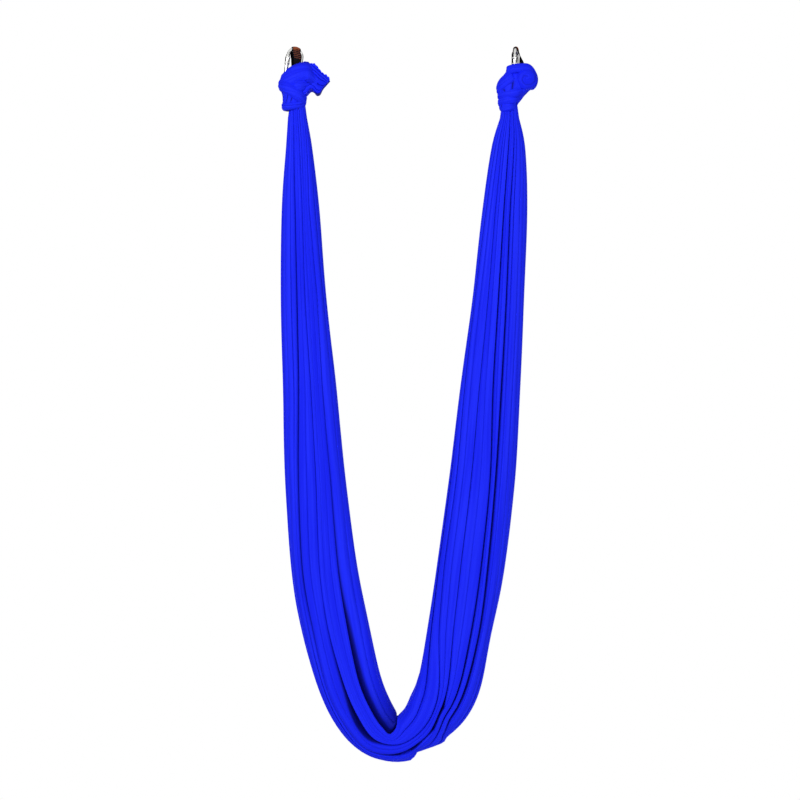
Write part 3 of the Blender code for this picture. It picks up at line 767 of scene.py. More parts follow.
def near(piece: Piece, tools: Sequence[Piece]) -> list[tuple]:
    """Pick the solids whose boxes meet a piece's, as cuts.

    Args:
        piece: The piece.
        tools: The solids.

    Returns:
        A cut for each of them.
    """
    spans = []
    for each in (piece, *tools):
        corners = np.array([vertex.co for vertex in each.data.vertices])
        spans.append((corners.min(axis=0), corners.max(axis=0)))
    low, high = spans[0]
    met = [(span[0] < high).all() and (span[1] > low).all() for span in spans[1:]]
    return [(tool, "DIFFERENCE") for tool, meets in zip(tools, met) if meets]


def joined(name: str, parts: Sequence[Piece]) -> Piece:
    """Join meshes into one object.

    Args:
        name: Its name.
        parts: The objects, which are removed.

    Returns:
        The joined object.
    """
    chosen = {"selected_objects": list(parts), "selected_editable_objects": list(parts)}
    with bpy.context.temp_override(active_object=parts[0], object=parts[0], **chosen):
        bpy.ops.object.join()
    parts[0].name = parts[0].data.name = name
    return parts[0]


def placed(made: Piece, matrix: Matrix) -> Piece:
    """Move a mesh to its place.

    Args:
        made: Its object, which stays at the origin.
        matrix: The move.

    Returns:
        The object.
    """
    made.data.transform(matrix)
    made.data.update()
    return made


def discard(pieces: Sequence[Piece]) -> None:
    """Remove pieces that only shaped others."""
    for piece in pieces:
        bpy.data.objects.remove(piece, do_unlink=True)


def circle(radius: float, count: int, phase: float = 0.0) -> Array:
    """Return points round a circle, from phase in turns of one step."""
    turn = 2 * math.pi * (np.arange(count) + phase) / count
    return np.stack((radius * np.cos(turn), radius * np.sin(turn)), axis=1)


def turned(name: str, profile: Keys, count: int, finish: Material, closed: bool = False) -> Piece:
    """Turn a solid about Z.

    Args:
        name: Its name.
        profile: Radius and height of each ring, bottom to top.
        count: Corners of each ring.
        finish: Its material.
        closed: Whether the profile closes, as round a bore.

    Returns:
        The solid.
    """
    rings = [np.column_stack((circle(radius, count), np.full(count, height))) for radius, height in profile]
    return loft_object(name, np.array(rings), finish, closed)


def prism(name: str, outline: Sequence[tuple], low: float, high: float, finish: Material) -> Piece:
    """Extrude a flat outline along Y.

    Args:
        name: Its name.
        outline: Corners in X and Z.
        low: Where it starts along Y.
        high: Where it ends.
        finish: Its material.

    Returns:
        The solid.
    """
    rings = [[(x, y, z) for x, z in outline] for y in (low, high)]
    return loft_object(name, np.array(rings), finish)


def rod_tree() -> Tree:
    """A round bar with closed ends along the edges of a mesh.

    Returns:
        The tree, with inputs Radius, Sides and Finish.
    """
    inputs = {"Radius": ("Float", 4.5 * MM), "Sides": ("Int", 40), "Finish": ("Material", None)}
    graph, entry, leave = node_group("Geometry", "bent_bar", inputs, "Geometry")
    path = graph.node("GeometryNodeMeshToCurve", {0: entry["Geometry"]}).outputs[0]
    profile = {"Resolution": entry["Sides"], "Radius": entry["Radius"]}
    section = graph.node("GeometryNodeCurvePrimitiveCircle", profile).outputs[0]
    swept = {"Curve": path, "Profile Curve": section, "Fill Caps": True}
    bar = graph.node("GeometryNodeCurveToMesh", swept).outputs[0]
    return end_tree(graph, bar, entry["Finish"], leave)


class Rods:
    """Bars and threads that follow a path, made by one geometry tree."""

    def __init__(self) -> None:
        """Build the tree once."""
        self.tree = rod_tree()

    def along(
        self, name: str, path: Array, radius: float, sides: int, finish: Material, closed: bool = False
    ) -> Piece:
        """Bend a bar along a path.

        Args:
            name: Name of the piece.
            path: Its centreline.
            radius: Its radius.
            sides: Corners of its section.
            finish: Its material.
            closed: Whether the path meets itself.

        Returns:
            The bar as one plain mesh with its faces out.
        """
        count = len(path)
        mesh = bpy.data.meshes.new(f"{name}_path")
        edges = [(i, i + 1) for i in range(count - 1)] + ([(count - 1, 0)] if closed else [])
        mesh.from_pydata(path.tolist(), edges, [])
        host = linked(f"{name}_path", mesh)
        add_modifier(host, self.tree, {"Radius": radius, "Sides": sides, "Finish": finish})
        made = applied(host, name)
        face_outwards(made, 1e-7)
        return made


class Kit:
    """Every finish and maker of the hammock, built once."""

    def __init__(self) -> None:
        """Build the materials and the geometry trees."""
        effects = Effects()
        self.cloth = Tricot().build(effects)
        self.steel = Steel().build(effects)
        self.pin = Steel("pin_steel", (0.48, 0.48, 0.47), (0.28, 0.28, 0.28), 0.26, 0.45).build(effects)
        self.webbing = BlackWebbing().build(effects)
        self.thread = Thread("orange_thread", (0.36, 0.09, 0.035), (0.17, 0.034, 0.012)).build(effects)
        self.hem_thread = Thread("blue_thread", (0.012, 0.028, 0.90), (0.004, 0.010, 0.60)).build(effects)
        self.beads = Beads()
        self.rods = Rods()


@dataclass(frozen=True)
class Carabiner:
    """Oval screw-gate carabiner in its own frame: the top bow's centre is the origin, the gate is at -X."""

    kit: Kit
    end: End
    hook: float
    turn: float
    tilt: float
    bar_radius: float = 4.5 * MM
    bow_radius: float = 22.5 * MM
    straight: float = 54.0 * MM
    seat_half_angle: float = 8.0
    nose_angle: float = 167.0
    hinge_angle: float = 210.0
    tongue_half: float = 2.0 * MM
    tongue_reach: float = 3.5 * MM
    tongue_root: float = 2.5 * MM
    tongue_shoulder: float = 4.0 * MM
    latch_lip: float = 1.6 * MM
    latch_lead: float = 1.0 * MM
    latch_drop: float = 1.0 * MM
    latch_pin_radius: float = 1.3 * MM
    hinge_pin_radius: float = 1.6 * MM
    gate_radius: float = 5.5 * MM
    gate_above: float = 3.0 * MM
    gate_opens: float = 22.0
    fork_half: float = 2.5 * MM
    fork_depth: float = 8.0 * MM
    hinge_fork_depth: float = 5.8 * MM
    spring_bore: float = 2.8 * MM
    spring_room: tuple = (4.8 * MM, 24.4 * MM)
    spring_wire: float = 0.3 * MM
    spring_turns: int = 6
    spring_length: float = 14.0 * MM
    plunger_travel: float = 1.1 * MM
    sleeve_length: float = 22.0 * MM
    sleeve_waist: float = 6.9 * MM
    sleeve_flange: float = 7.7 * MM
    flange_height: float = 3.4 * MM
    sleeve_neck: float = 1.2 * MM
    sleeve_foot: float = -28.0 * MM
    ribs: int = 30
    thread_pitch: float = 1.0 * MM
    thread_top: float = -5.4 * MM
    thread_wire: float = 0.3 * MM
    room: float = 0.8 * MM
    ring_clear: float = 0.6 * MM
    bar_sides: int = 40
    bar_steps: tuple = (26, 30, 50)

    def matrix(self) -> Matrix:
        """Place the carabiner's own frame.

        Returns:
            Its matrix.
        """
        rise = (self.bow_radius - self.bar_radius) * math.cos(math.radians(self.seat_half_angle))
        turn, tilt = math.radians(self.turn), math.radians(self.tilt)
        turned_frame = Matrix.Rotation(turn, 4, "Z") @ Matrix.Rotation(tilt, 4, "Y")
        return Matrix.Translation((self.hook, 0.0, -rise)) @ turned_frame

    def on_gate(self, level: float = 0.0) -> Matrix:
        """Return the place of a level of the gate's axis."""
        return Matrix.Translation((-self.bow_radius, 0.0, level))

    def helix(self, radius: float, low: float, rise: float, turns: Array) -> Array:
        """Wind a line round the gate's axis.

        Args:
            radius: Its radius.
            low: Where it starts.
            rise: How far it climbs with each turn.
            turns: The turn that each of its points stands at.

        Returns:
            Its points.
        """
        across = radius * np.cos(2 * math.pi * turns) - self.bow_radius
        return np.column_stack((across, radius * np.sin(2 * math.pi * turns), low + rise * turns))

    def bar_path(self, nose: float, hinge: float) -> Array:
        """Centreline of the bar from its nose over the seat's flat and round to its hinge.

        Args:
            nose: Angle of the nose, in degrees round from the spine.
            hinge: Angle of the hinge end.

        Returns:
            Its points.
        """
        top = 90.0 + self.tilt
        bow = np.linspace(nose, top + self.seat_half_angle, self.bar_steps[0]).tolist()
        bow += np.linspace(top - self.seat_half_angle, 0.0, self.bar_steps[1]).tolist()
        foot = np.linspace(0.0, hinge - 360.0, self.bar_steps[2])
        turns = np.radians(np.concatenate((bow, foot)))
        drop = np.concatenate((np.zeros(len(bow)), np.full(len(foot), self.straight)))
        across = self.bow_radius * np.cos(turns)
        return np.column_stack((across, np.zeros(len(turns)), self.bow_radius * np.sin(turns) - drop))

    def tongue_roots(self, angle: float, onward: float, drop: float) -> tuple[tuple, tuple]:
        """Find the corners of a tongue that are sunk into the bar's end.

        Args:
            angle: Where the bar ends on its bow, in degrees.
            onward: 1 where the bar runs on to smaller angles, -1 where it came from them.
            drop: How far its bow lies below the top one.

        Returns:
            The outer and the inner corner.
        """
        turn = math.radians(angle)
        out = Vector((math.cos(turn), math.sin(turn)))
        inside = out * self.bow_radius + Vector((0.0, -drop))
        inside += Vector((math.sin(turn), -math.cos(turn))) * self.tongue_root * onward
        return tuple(inside + out * self.tongue_reach * 0.7), tuple(inside - out * self.tongue_reach * 0.7)

    def body(self) -> Piece:
        """Build the bent bar with its notched nose tongue and its hinge tongue.

        Returns:
            The bar.
        """
        path = self.bar_path(self.nose_angle, self.hinge_angle)
        name = f"{self.end.value}_carabiner_bar"
        bar = self.kit.rods.along(name, path, self.bar_radius, self.bar_sides, self.kit.steel)
        left, right = -self.bow_radius - self.tongue_reach, -self.bow_radius + self.tongue_reach
        pin = self.latch_pin_radius + GAP
        low, high = -self.latch_drop - pin, -self.latch_drop + pin
        back = -self.bow_radius - pin
        outer, inner = self.tongue_roots(self.nose_angle, 1.0, 0.0)
        nose = [
            (left, low - self.latch_lip),
            (right - self.latch_lead, low - self.latch_lip),
            (right, low),
            (back, low),
            (back, high),
            (right, high),
            inner,
            outer,
        ]
        shoulder, top = -self.straight - self.tongue_shoulder, -self.straight + self.tongue_reach
        outer, inner = self.tongue_roots(self.hinge_angle, -1.0, self.straight)
        corner = [
            (left + self.tongue_reach * (1 - math.sin(turn)), top - self.tongue_reach * (1 - math.cos(turn)))
            for turn in np.radians((0.0, 30.0, 60.0, 90.0))
        ]
        across = [(-2 * self.bow_radius - x, z) for x, z in corner[:0:-1]]
        hinge = [*corner, (left, shoulder), outer, inner, (right, shoulder), *across]
        half = self.tongue_half
        tongues = [prism("tongue", shape, -half, half, self.kit.steel) for shape in (nose, hinge)]
        bore = self.pin_hole(self.hinge_pin_radius + GAP, -self.straight)
        made = shaped(bar, [*((tongue, "UNION") for tongue in tongues), (bore, "DIFFERENCE")], name)
        discard([*tongues, bore])
        return placed(made, self.matrix())

    def pin_hole(self, radius: float, level: float) -> Piece:
        """Build the cutter of a pin's hole across the gate.

        Args:
            radius: The hole's radius.
            level: Height of its middle.

        Returns:
            The cutter.
        """
        ring = circle(radius, 32) + np.array((-self.bow_radius, level))
        reach = 4 * self.gate_radius
        return prism("hole", ring.tolist(), -reach, reach, self.kit.pin)

    def gate(self) -> list[Piece]:
        """Build the gate, forked at both ends, and the screw thread round it.

        Returns:
            The gate and the thread.
        """
        name, kit = f"{self.end.value}_gate_tube", self.kit
        height, foot, radius = self.gate_above, -self.straight - self.gate_radius, self.gate_radius
        bends = np.radians((35, 50, 65, 80, 90))
        profile = [(radius * math.sin(bend), foot + radius * 0.75 * (1 - math.cos(bend))) for bend in bends]
        profile += [(radius, height - 1.0 * MM), (radius * 0.95, height - 0.35 * MM), (radius * 0.85, height)]
        gate = placed(turned(name, profile, 56, kit.steel), self.on_gate())
        wide, half = 2 * radius, self.fork_half
        left, right = -self.bow_radius - wide, -self.bow_radius + wide
        levels = (
            (height - self.fork_depth, height + wide),
            (foot - wide, -self.straight + self.hinge_fork_depth),
        )
        tools = []
        for low, high in levels:
            slot = [(left, low), (right, low), (right, high), (left, high)]
            tools.append(prism("slot", slot, -half, half, kit.pin))
        tools.append(self.pin_hole(self.hinge_pin_radius + GAP, -self.straight))
        tools.append(self.pin_hole(self.latch_pin_radius + GAP, -self.latch_drop))
        bore = [(self.spring_bore, level - self.straight) for level in self.spring_room]
        tools.append(placed(turned("bore", bore, 32, kit.pin), self.on_gate()))
        made = shaped(gate, [(tool, "DIFFERENCE") for tool in tools], name)
        discard(tools)
        low = self.sleeve_foot + 1.0 * MM
        turns = (self.thread_top - low) / self.thread_pitch
        steps = np.linspace(0.0, turns, int(turns * 28))
        helix = self.helix(radius - 0.12 * MM, low, self.thread_pitch, steps)
        thread = kit.rods.along(f"{self.end.value}_gate_thread", helix, self.thread_wire, 6, kit.steel)
        return [placed(each, self.matrix()) for each in (made, thread)]

    def spring(self) -> Piece:
        """Wind the spring that closes the gate.

        Returns:
            The spring, on the gate's body.
        """
        steps = np.linspace(0.0, self.spring_turns, self.spring_turns * 24 + 1)
        radius = self.spring_bore - GAP - self.spring_wire
        top = self.spring_room[1] - GAP - self.straight
        rise = (self.spring_length - 2 * self.spring_wire) / self.spring_turns
        path = self.helix(radius, top - self.spring_length + self.spring_wire, rise, steps)
        end = self.end.value
        wire = self.kit.rods.along(f"{end}_spring_wire", path, self.spring_wire, 8, self.kit.pin)
        ride(placed(wire, self.matrix()), f"{end}_gate", Slot.PIN, f"{end}_gate_spring")
        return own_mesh(wire)

    def sleeve(self) -> list[Piece]:
        """Build the waisted locking sleeve and the ribs round its two flanges.

        Returns:
            The sleeve and the ribs.
        """
        length, step, edge = self.sleeve_length, self.flange_height, 0.7 * MM
        waist, flange, bore = self.sleeve_waist, self.sleeve_flange, self.gate_radius + GAP
        half = [
            (bore + 0.5 * MM, 0.0),
            (flange - edge, 0.0),
            (flange - 0.2 * MM, 0.25 * MM),
            (flange, edge),
            (flange, step - 0.3 * MM),
            (flange - 0.25 * MM, step),
            (waist + 0.15 * MM, step + self.sleeve_neck),
            (waist, step + self.sleeve_neck + 0.6 * MM),
        ]
        profile = half + [(radius, length - level) for radius, level in half[::-1]]
        profile += [(bore, length - 0.5 * MM), (bore, 0.5 * MM)]
        name = f"{self.end.value}_sleeve_shell"
        shell = turned(name, profile, 72, self.kit.steel, closed=True)
        shell.data.set_sharp_from_angle(angle=math.radians(50.0))
        places, out = [], []
        sunk = flange - 0.05 * MM
        for level in (step / 2 + 0.1 * MM, length - step / 2 - 0.1 * MM):
            for x, y in circle(1.0, self.ribs):
                out.append((x, y, 0.0))
                places.append((sunk * x, sunk * y, level))
        along = [(0.0, 0.0, 1.0)] * len(places)
        size = (2.7 * MM, 0.95 * MM, 0.75 * MM)
        ribs = self.kit.beads.lay(f"{self.end.value}_sleeve_ribs", places, along, out, size, self.kit.steel)
        move = self.matrix() @ self.on_gate(self.sleeve_foot)
        return [placed(each, move) for each in (shell, ribs)]

    def gate_room(self) -> Piece:
        """Build the space that the gate and its sleeve sweep, as a cutter for the knot.

        Returns:
            The cutter.
        """
        turn = math.radians(self.gate_opens)
        tube = self.gate_radius + self.room
        toe, wide, low = tube * 0.8, 8.0 * MM + self.room, self.sleeve_foot - self.room
        foot = -self.straight - self.gate_radius - 3.0 * MM

        def opened(level: float, aside: float) -> tuple[float, float]:
            """Turn a point of the gate as the gate opens.

            Args:
                level: Its height when the gate is shut.
                aside: How far it lies from the gate's axis.

            Returns:
                Its place when the gate is open.
            """
            along = level + self.straight
            x = -self.bow_radius + along * math.sin(turn) + aside * math.cos(turn)
            return x, -self.straight + along * math.cos(turn) - aside * math.sin(turn)

        outline = (
            (-self.bow_radius + toe, foot),
            opened(-self.straight, tube),
            opened(low, tube),
            opened(low, wide),
            opened(0.0, wide),
            (-self.bow_radius - wide, 0.0),
            (-self.bow_radius - wide, low),
            (-self.bow_radius - tube, low + tube - wide),
            (-self.bow_radius - tube, -self.straight),
            (-self.bow_radius - toe, foot),
        )
        return placed(prism("gate_room", outline, -wide, wide, self.kit.cloth), self.matrix())

    def ring_room(self) -> Piece:
        """Build the space round the whole oval, as a cutter for the knot.

        Returns:
            The cutter.
        """
        path = self.bar_path(180.0, 180.0)[:-1]
        radius = self.bar_radius + self.ring_clear
        made = self.kit.rods.along("ring_room", path, radius, 20, self.kit.cloth, closed=True)
        return placed(made, self.matrix())


@dataclass(frozen=True)
class WebbingLoop:
    """Webbing folded over a top bow, bar-tacked through both layers, in the carabiner's own frame."""

    carabiner: Carabiner
    near_foot: float
    twist: float
    aside: float
    sewn: float
    thickness: float = 2.0 * MM
    width: float = 28.0 * MM
    foot_width: float = 21.0 * MM
    clear: float = 9.2 * MM
    drop: float = 40.0 * MM
    shoulder: float = 16.5 * MM
    shoulder_clear: float = 6.2 * MM
    far_foot: float = 10.0 * MM
    bar_corner: float = 4.5 * MM / math.cos(math.pi / 12)
    tack_width: float = 22.0 * MM
    tack_pitch: float = 5.4 * MM
    tack_first: float = 16.5 * MM
    tacks: int = 5
    stitches: int = 17
    slant: float = 0.42
    stitch: tuple = (3.0 * MM, 0.8 * MM, 0.7 * MM)
    rows_between: int = 5
    columns: int = 41
    stops: tuple = (
        (0.125, 0.0, 0.0, 0.15, 0.05),
        (-0.2, 0.35, 0.5, 0.42, 0.4),
        (-0.6, 0.75, 0.5, 0.72, 0.8),
        (-1.0, 1.0, 1.0, 1.0, 1.0),
    )

    def rows(self, shares: Array, grow: float = 0.0) -> Array:
        """Path of the webbing over the bow, foot to foot.

        Args:
            shares: Places across its width, from -1 to 1.
            grow: How far it is grown all round.

        Returns:
            Corners by row, place across, and inner or outer surface.
        """
        radius = self.carabiner.bow_radius
        inner = self.bar_corner + 1.5 * GAP
        across = shares * (self.width / 2 + grow)

        def leg(sign: float, foot: float, twist: float) -> list[Array]:
            """Lay one layer from the shoulder to its foot.

            Args:
                sign: -1 for the near layer, 1 for the far one.
                foot: How far its foot stands from the bar's plane.
                twist: How far it is turned at its foot, in degrees.

            Returns:
                Its rows.
            """
            made = []
            bow = np.sqrt(radius**2 - across**2) - radius + self.shoulder
            plan = [(bow, self.shoulder_clear, self.width, 0.0, 0.0)]
            for level, outward, narrowing, aside, turn in self.stops:
                height = self.drop * level - (grow if level == -1.0 else 0.0)
                clear = self.clear + (foot - self.clear) * outward
                width = self.width + (self.foot_width - self.width) * narrowing
                plan.append((np.full(len(shares), height), clear, width, self.aside * aside, twist * turn))
            for level, clear, width, aside, turn in plan:
                cosine, sine = math.cos(math.radians(turn)), math.sin(math.radians(turn))
                x = shares * (width / 2 + grow)
                pair = []
                for y in (-sign * grow, sign * (self.thickness + grow)):
                    turned_x, turned_y = x * cosine - y * sine + aside, x * sine + y * cosine + sign * clear
                    pair.append(np.stack((turned_x, turned_y, level), axis=1))
                made.append(np.stack(pair, axis=1))
            return made

        def over_bow(sign: float, degrees: float) -> Array:
            """Lay one row over the bar.

            Args:
                sign: -1 before the bar's plane, 1 behind it.
                degrees: How high it lies on the bar.

            Returns:
                The row.
            """
            angle = math.radians(degrees)
            pair = []
            for reach in (inner - grow, inner + self.thickness + grow):
                height = np.sqrt((radius + reach * math.sin(angle)) ** 2 - across**2)
                aside = np.full(len(shares), sign * reach * math.cos(angle))
                pair.append(np.stack((across, aside, height), axis=1))
            return np.stack(pair, axis=1)

        arc = np.linspace(0.0, 90.0, 6)
        made = leg(-1.0, self.near_foot, self.twist)[::-1]
        made += [over_bow(-1.0, degrees) for degrees in arc]
        made += [over_bow(1.0, degrees) for degrees in arc[-2::-1]]
        return np.array(made + leg(1.0, self.far_foot, 0.0))

    def fine_rows(self, shares: Array, grow: float = 0.0) -> Array:
        """Lay the rows with more of them on a smooth curve between.

        Args:
            shares: Places across its width, from -1 to 1.
            grow: How far it is grown all round.

        Returns:
            Corners, as rows() gives them.
        """
        rows = self.rows(shares, grow)
        at = np.linspace(0, len(rows) - 1, (len(rows) - 1) * self.rows_between + 1)
        return smooth_between(rows.reshape(len(rows), -1), at).reshape(len(at), len(shares), 2, 3)

    def band(self) -> Piece:
        """Build the webbing with rounded edges and a map in metres.

        Returns:
            The webbing.
        """
        shares = np.sin(np.linspace(-math.pi / 2, math.pi / 2, 27))
        rows = self.fine_rows(shares)
        thin = 0.35 * np.abs(shares) ** 40
        middle = rows.mean(axis=2, keepdims=True)
        rows = rows + (middle - rows) * (2 * thin)[None, :, None, None]
        rings = np.concatenate((rows[:, :, 0], rows[:, ::-1, 1]), axis=1)
        run = run_along(rows[:, len(shares) // 2, 1])
        along = np.repeat(run[:, None], rings.shape[1], axis=1)
        across = np.tile(np.concatenate((shares, shares[::-1])) * self.width / 2, (len(rings), 1))
        uvs = np.stack((across, along), axis=-1)
        name = f"{self.carabiner.end.value}_webbing_strap"
        return placed(loft_object(name, rings, self.carabiner.kit.webbing, uvs=uvs), self.carabiner.matrix())

    def room(self) -> Piece:
        """Build the space that the webbing takes, as a cutter for the cloth.

        Returns:
            The cutter.
        """
        rows = self.rows(np.linspace(-1.0, 1.0, 9), GAP)
        rings = np.concatenate((rows[:, :, 0], rows[:, ::-1, 1]), axis=1)
        return placed(loft_object("webbing_room", rings, self.carabiner.kit.cloth), self.carabiner.matrix())

    def tack_stitches(self) -> Piece:
        """Sew the zigzag bars on the outer face and the close rows over the bow.

        Returns:
            The stitches.
        """
        shares = np.linspace(-1.0, 1.0, self.columns)
        outer = self.fine_rows(shares)[:, :, 1]
        half = len(outer) // 2
        face = outer[half:] if self.sewn > 0 else outer[half::-1]
        places, along, out = [], [], []

        def sew(share: float, height: float, slant: float) -> None:
            """Lay one stitch on the face.

            Args:
                share: Its place across, from -1 to 1.
                height: Its height.
                slant: How far it leans, in radians.
            """
            column = int(round((share + 1.0) * (self.columns - 1) / 2))
            line = face[:, column]
            order = np.argsort(line[:, 2])
            point = np.array([np.interp(height, line[order, 2], line[order, axis]) for axis in range(3)])
            row = int(np.argmin(np.abs(line[:, 2] - height)))
            down = line[min(row + 1, len(line) - 1)] - line[max(row - 1, 0)]
            side = face[row, min(column + 1, self.columns - 1)] - face[row, max(column - 1, 0)]
            normal = unit(np.cross(side, down))
            if normal[1] * self.sewn < 0 and normal[2] < 0.5:
                normal = -normal
            down, side = unit(down), unit(side)
            places.append(point + normal * 0.15 * MM)
            along.append(down * math.cos(slant) + side * math.sin(slant))
            out.append(normal)

        reach = self.tack_width / self.width
        for bar in range(self.tacks):
            for index in range(self.stitches):
                share = reach * (2 * index / (self.stitches - 1) - 1)
                sew(share, self.tack_first - bar * self.tack_pitch, self.slant if index % 2 else -self.slant)
        top = self.carabiner.bow_radius + self.bar_corner
        for row in range(2):
            for index in range(self.stitches):
                share = reach * (2 * index / (self.stitches - 1) - 1) * 0.98
                sew(share, top - (1.6 + 2.6 * row) * MM, 0.0)
        name, kit = f"{self.carabiner.end.value}_tack_stitches", self.carabiner.kit
        made = kit.beads.lay(name, places, along, out, self.stitch, kit.thread)
        return placed(made, self.carabiner.matrix())


# Sling's route: -1 is under the left neck, 1 under the right; then drop, width and depth as shares
SLING_ROUTE = np.array((
    (-1.000, 0.000, 0.285, 0.37),
    (-0.986, 0.048, 0.390, 0.46),
    (-0.972, 0.144, 0.555, 0.60),
    (-0.943, 0.289, 0.675, 0.72),
    (-0.887, 0.433, 0.790, 0.80),
    (-0.835, 0.578, 0.895, 0.88),
    (-0.750, 0.722, 0.975, 0.94),
    (-0.646, 0.819, 0.990, 0.98),
    (-0.514, 0.907, 0.940, 1.00),
    (-0.382, 0.958, 0.880, 1.00),
    (-0.231, 0.989, 0.790, 1.00),
    (-0.057, 1.000, 0.660, 1.00),
    (0.123, 0.987, 0.690, 1.00),
    (0.288, 0.958, 0.840, 1.00),
    (0.429, 0.912, 0.930, 1.00),
    (0.533, 0.823, 0.950, 0.98),
    (0.637, 0.722, 1.000, 0.94),
    (0.745, 0.578, 0.970, 0.88),
    (0.821, 0.433, 0.885, 0.80),
    (0.896, 0.289, 0.765, 0.72),
    (0.958, 0.144, 0.660, 0.62),
    (0.990, 0.048, 0.500, 0.50),
    (1.000, 0.000, 0.285, 0.37),
))

# Angle of each main fold round the section, degrees by station: 0 is the inside of the U, 90 the front,
# 180 the outside and 270 the back
FREE_EDGE = ((0, -100), (9.5, -100), (12.5, -150), (22, -150))
POUCH_MOUTH = (
    (0, 40), (2, 63), (3, 53), (4, 62), (5, 60), (6, 66), (7, 69.5), (8, 73), (9, 72.5), (10, 74.5),
    (10.5, 80), (11, 44), (11.5, -5), (12, -25), (13, -35), (14, -40), (16, -45), (22, -50),
)
POUCH_LIP = (
    (0, 85), (2, 82), (3, 84), (4, 85), (5, 85.6), (6, 97), (7, 101), (8, 98), (9, 99), (9.5, 102),
    (10, 105), (11, 98), (12, 93), (13, 85), (14, 70), (15, 45), (16, 33), (17, 35), (18, 26), (19, 18),
    (20, 30), (22, 40),
)
LEFT_CREASE = (
    (0, 112), (1, 110), (2, 103), (3, 103), (4, 111), (5, 121), (6, 130), (7, 129), (8, 136), (9, 134),
    (10, 141), (11, 124), (11.7, 114), (12.3, 110), (13, 96), (14, 86), (15, 76), (16, 70), (18, 66),
    (20, 62), (22, 66),
)
MIDDLE_CREASE = (
    (0, 140), (4, 140), (6, 152), (8, 158), (9, 160), (10, 165), (11, 150), (12, 142), (13, 108), (14, 106),
    (15, 109), (16, 105), (17, 102), (18, 92), (19, 87), (20, 84), (22, 90),
)
RIGHT_CREASE = (
    (0, 165), (4, 168), (6, 178), (8, 190), (10, 205), (11, 195), (12, 172), (13, 120), (14, 118), (15, 126),
    (16, 117), (17, 111), (18, 109), (19, 105), (20, 100), (22, 112),
)

# How far the outside of the seat is drawn in where layers of the cloth end, in millimetres by station
SEAT_STEPS = (
    (0, 0), (10.5, 0), (11.25, -6), (11.4, -6), (11.55, 11), (11.9, 6), (12.2, 0), (12.5, -4), (12.65, 4),
    (13.1, 0), (22, 0),
)


@dataclass(frozen=True)
class Fold:
    """A crease that runs the length of the sling.

    Its two lips lie below the outline by their falls, in millimetres by station. One laps the other, and
    between them is a slot as wide as open says, in millimetres by station.
    """

    before: Keys
    after: Keys
    laps_onward: bool
    lap: float = 2.2
    open: Keys = ((0, 0.0), (22, 0.0))
    bottom: float = 0.8


# Main folds in the order of their angles, from the pouch's mouth to the right crease
MAIN_FOLDS = (
    Fold(
        (
            (0, 6), (2, 7), (5, 8), (6.5, 10), (7.4, 18), (8, 30), (9, 36), (11, 38), (12, 22), (14, 8),
            (22, 6),
        ),
        ((0, 1.5), (22, 1.5)),
        False,
        3.0,
    ),
    Fold(
        ((0, 0.8), (22, 0.8)),
        ((0, 2), (6, 3), (8, 9), (9.2, 20), (10.2, 14), (12, 7), (14, 2), (22, 1.5)),
        True,
        0.6,
        (
            (0, 0.2), (7, 0.3), (8.3, 2.5), (9.2, 12.0), (9.8, 10.0), (10.3, 0.8), (13, 0.8), (15, 0.2),
            (22, 0.2),
        ),
    ),
    Fold(
        ((0, 0.8), (22, 0.8)),
        ((0, 6), (3, 9), (6, 9), (8, 6), (10, 12), (12, 15), (13.5, 8), (15, 2), (22, 2)),
        True,
        0.6,
        (
            (0, 1.6), (3, 2.6), (6, 2.4), (8, 1.0), (9.9, 0.8), (10.6, 5.0), (11.3, 14.0), (11.7, 10.0),
            (12.0, 1.6), (12.3, 1.2), (12.7, 9.0), (13.2, 9.0), (13.7, 0.8), (15, 0.2), (22, 0.2),
        ),
    ),
    Fold(
        ((0, 0.6), (22, 0.6)),
        ((0, 1.5), (7, 1.5), (10, 6), (12.5, 13), (14, 13), (16, 7), (22, 7)),
        True,
        0.6,
        ((0, 0.2), (8, 0.3), (11, 1.2), (13, 2.0), (15, 2.2), (18, 1.4), (22, 1.4)),
    ),
    Fold(
        ((0, 0.8), (22, 0.8)),
        ((0, 2), (8, 3), (10, 6), (12, 10), (14, 12), (18, 10), (22, 8)),
        True,
        0.6,
        ((0, 0.2), (9, 0.5), (12, 1.6), (13, 4.0), (14, 5.0), (15, 4.0), (16, 2.8), (19, 2.6), (22, 1.6)),
    ),
)

# Places of the small folds between one main fold and the next, from free edge to free edge
SMALL_FOLDS = (
    (0.10, 0.21, 0.32, 0.42, 0.53, 0.66, 0.82),
    (0.35, 0.70),
    (0.5,),
    (0.5,),
    (0.5,),
    (0.12, 0.27, 0.42, 0.57, 0.72, 0.86),
)


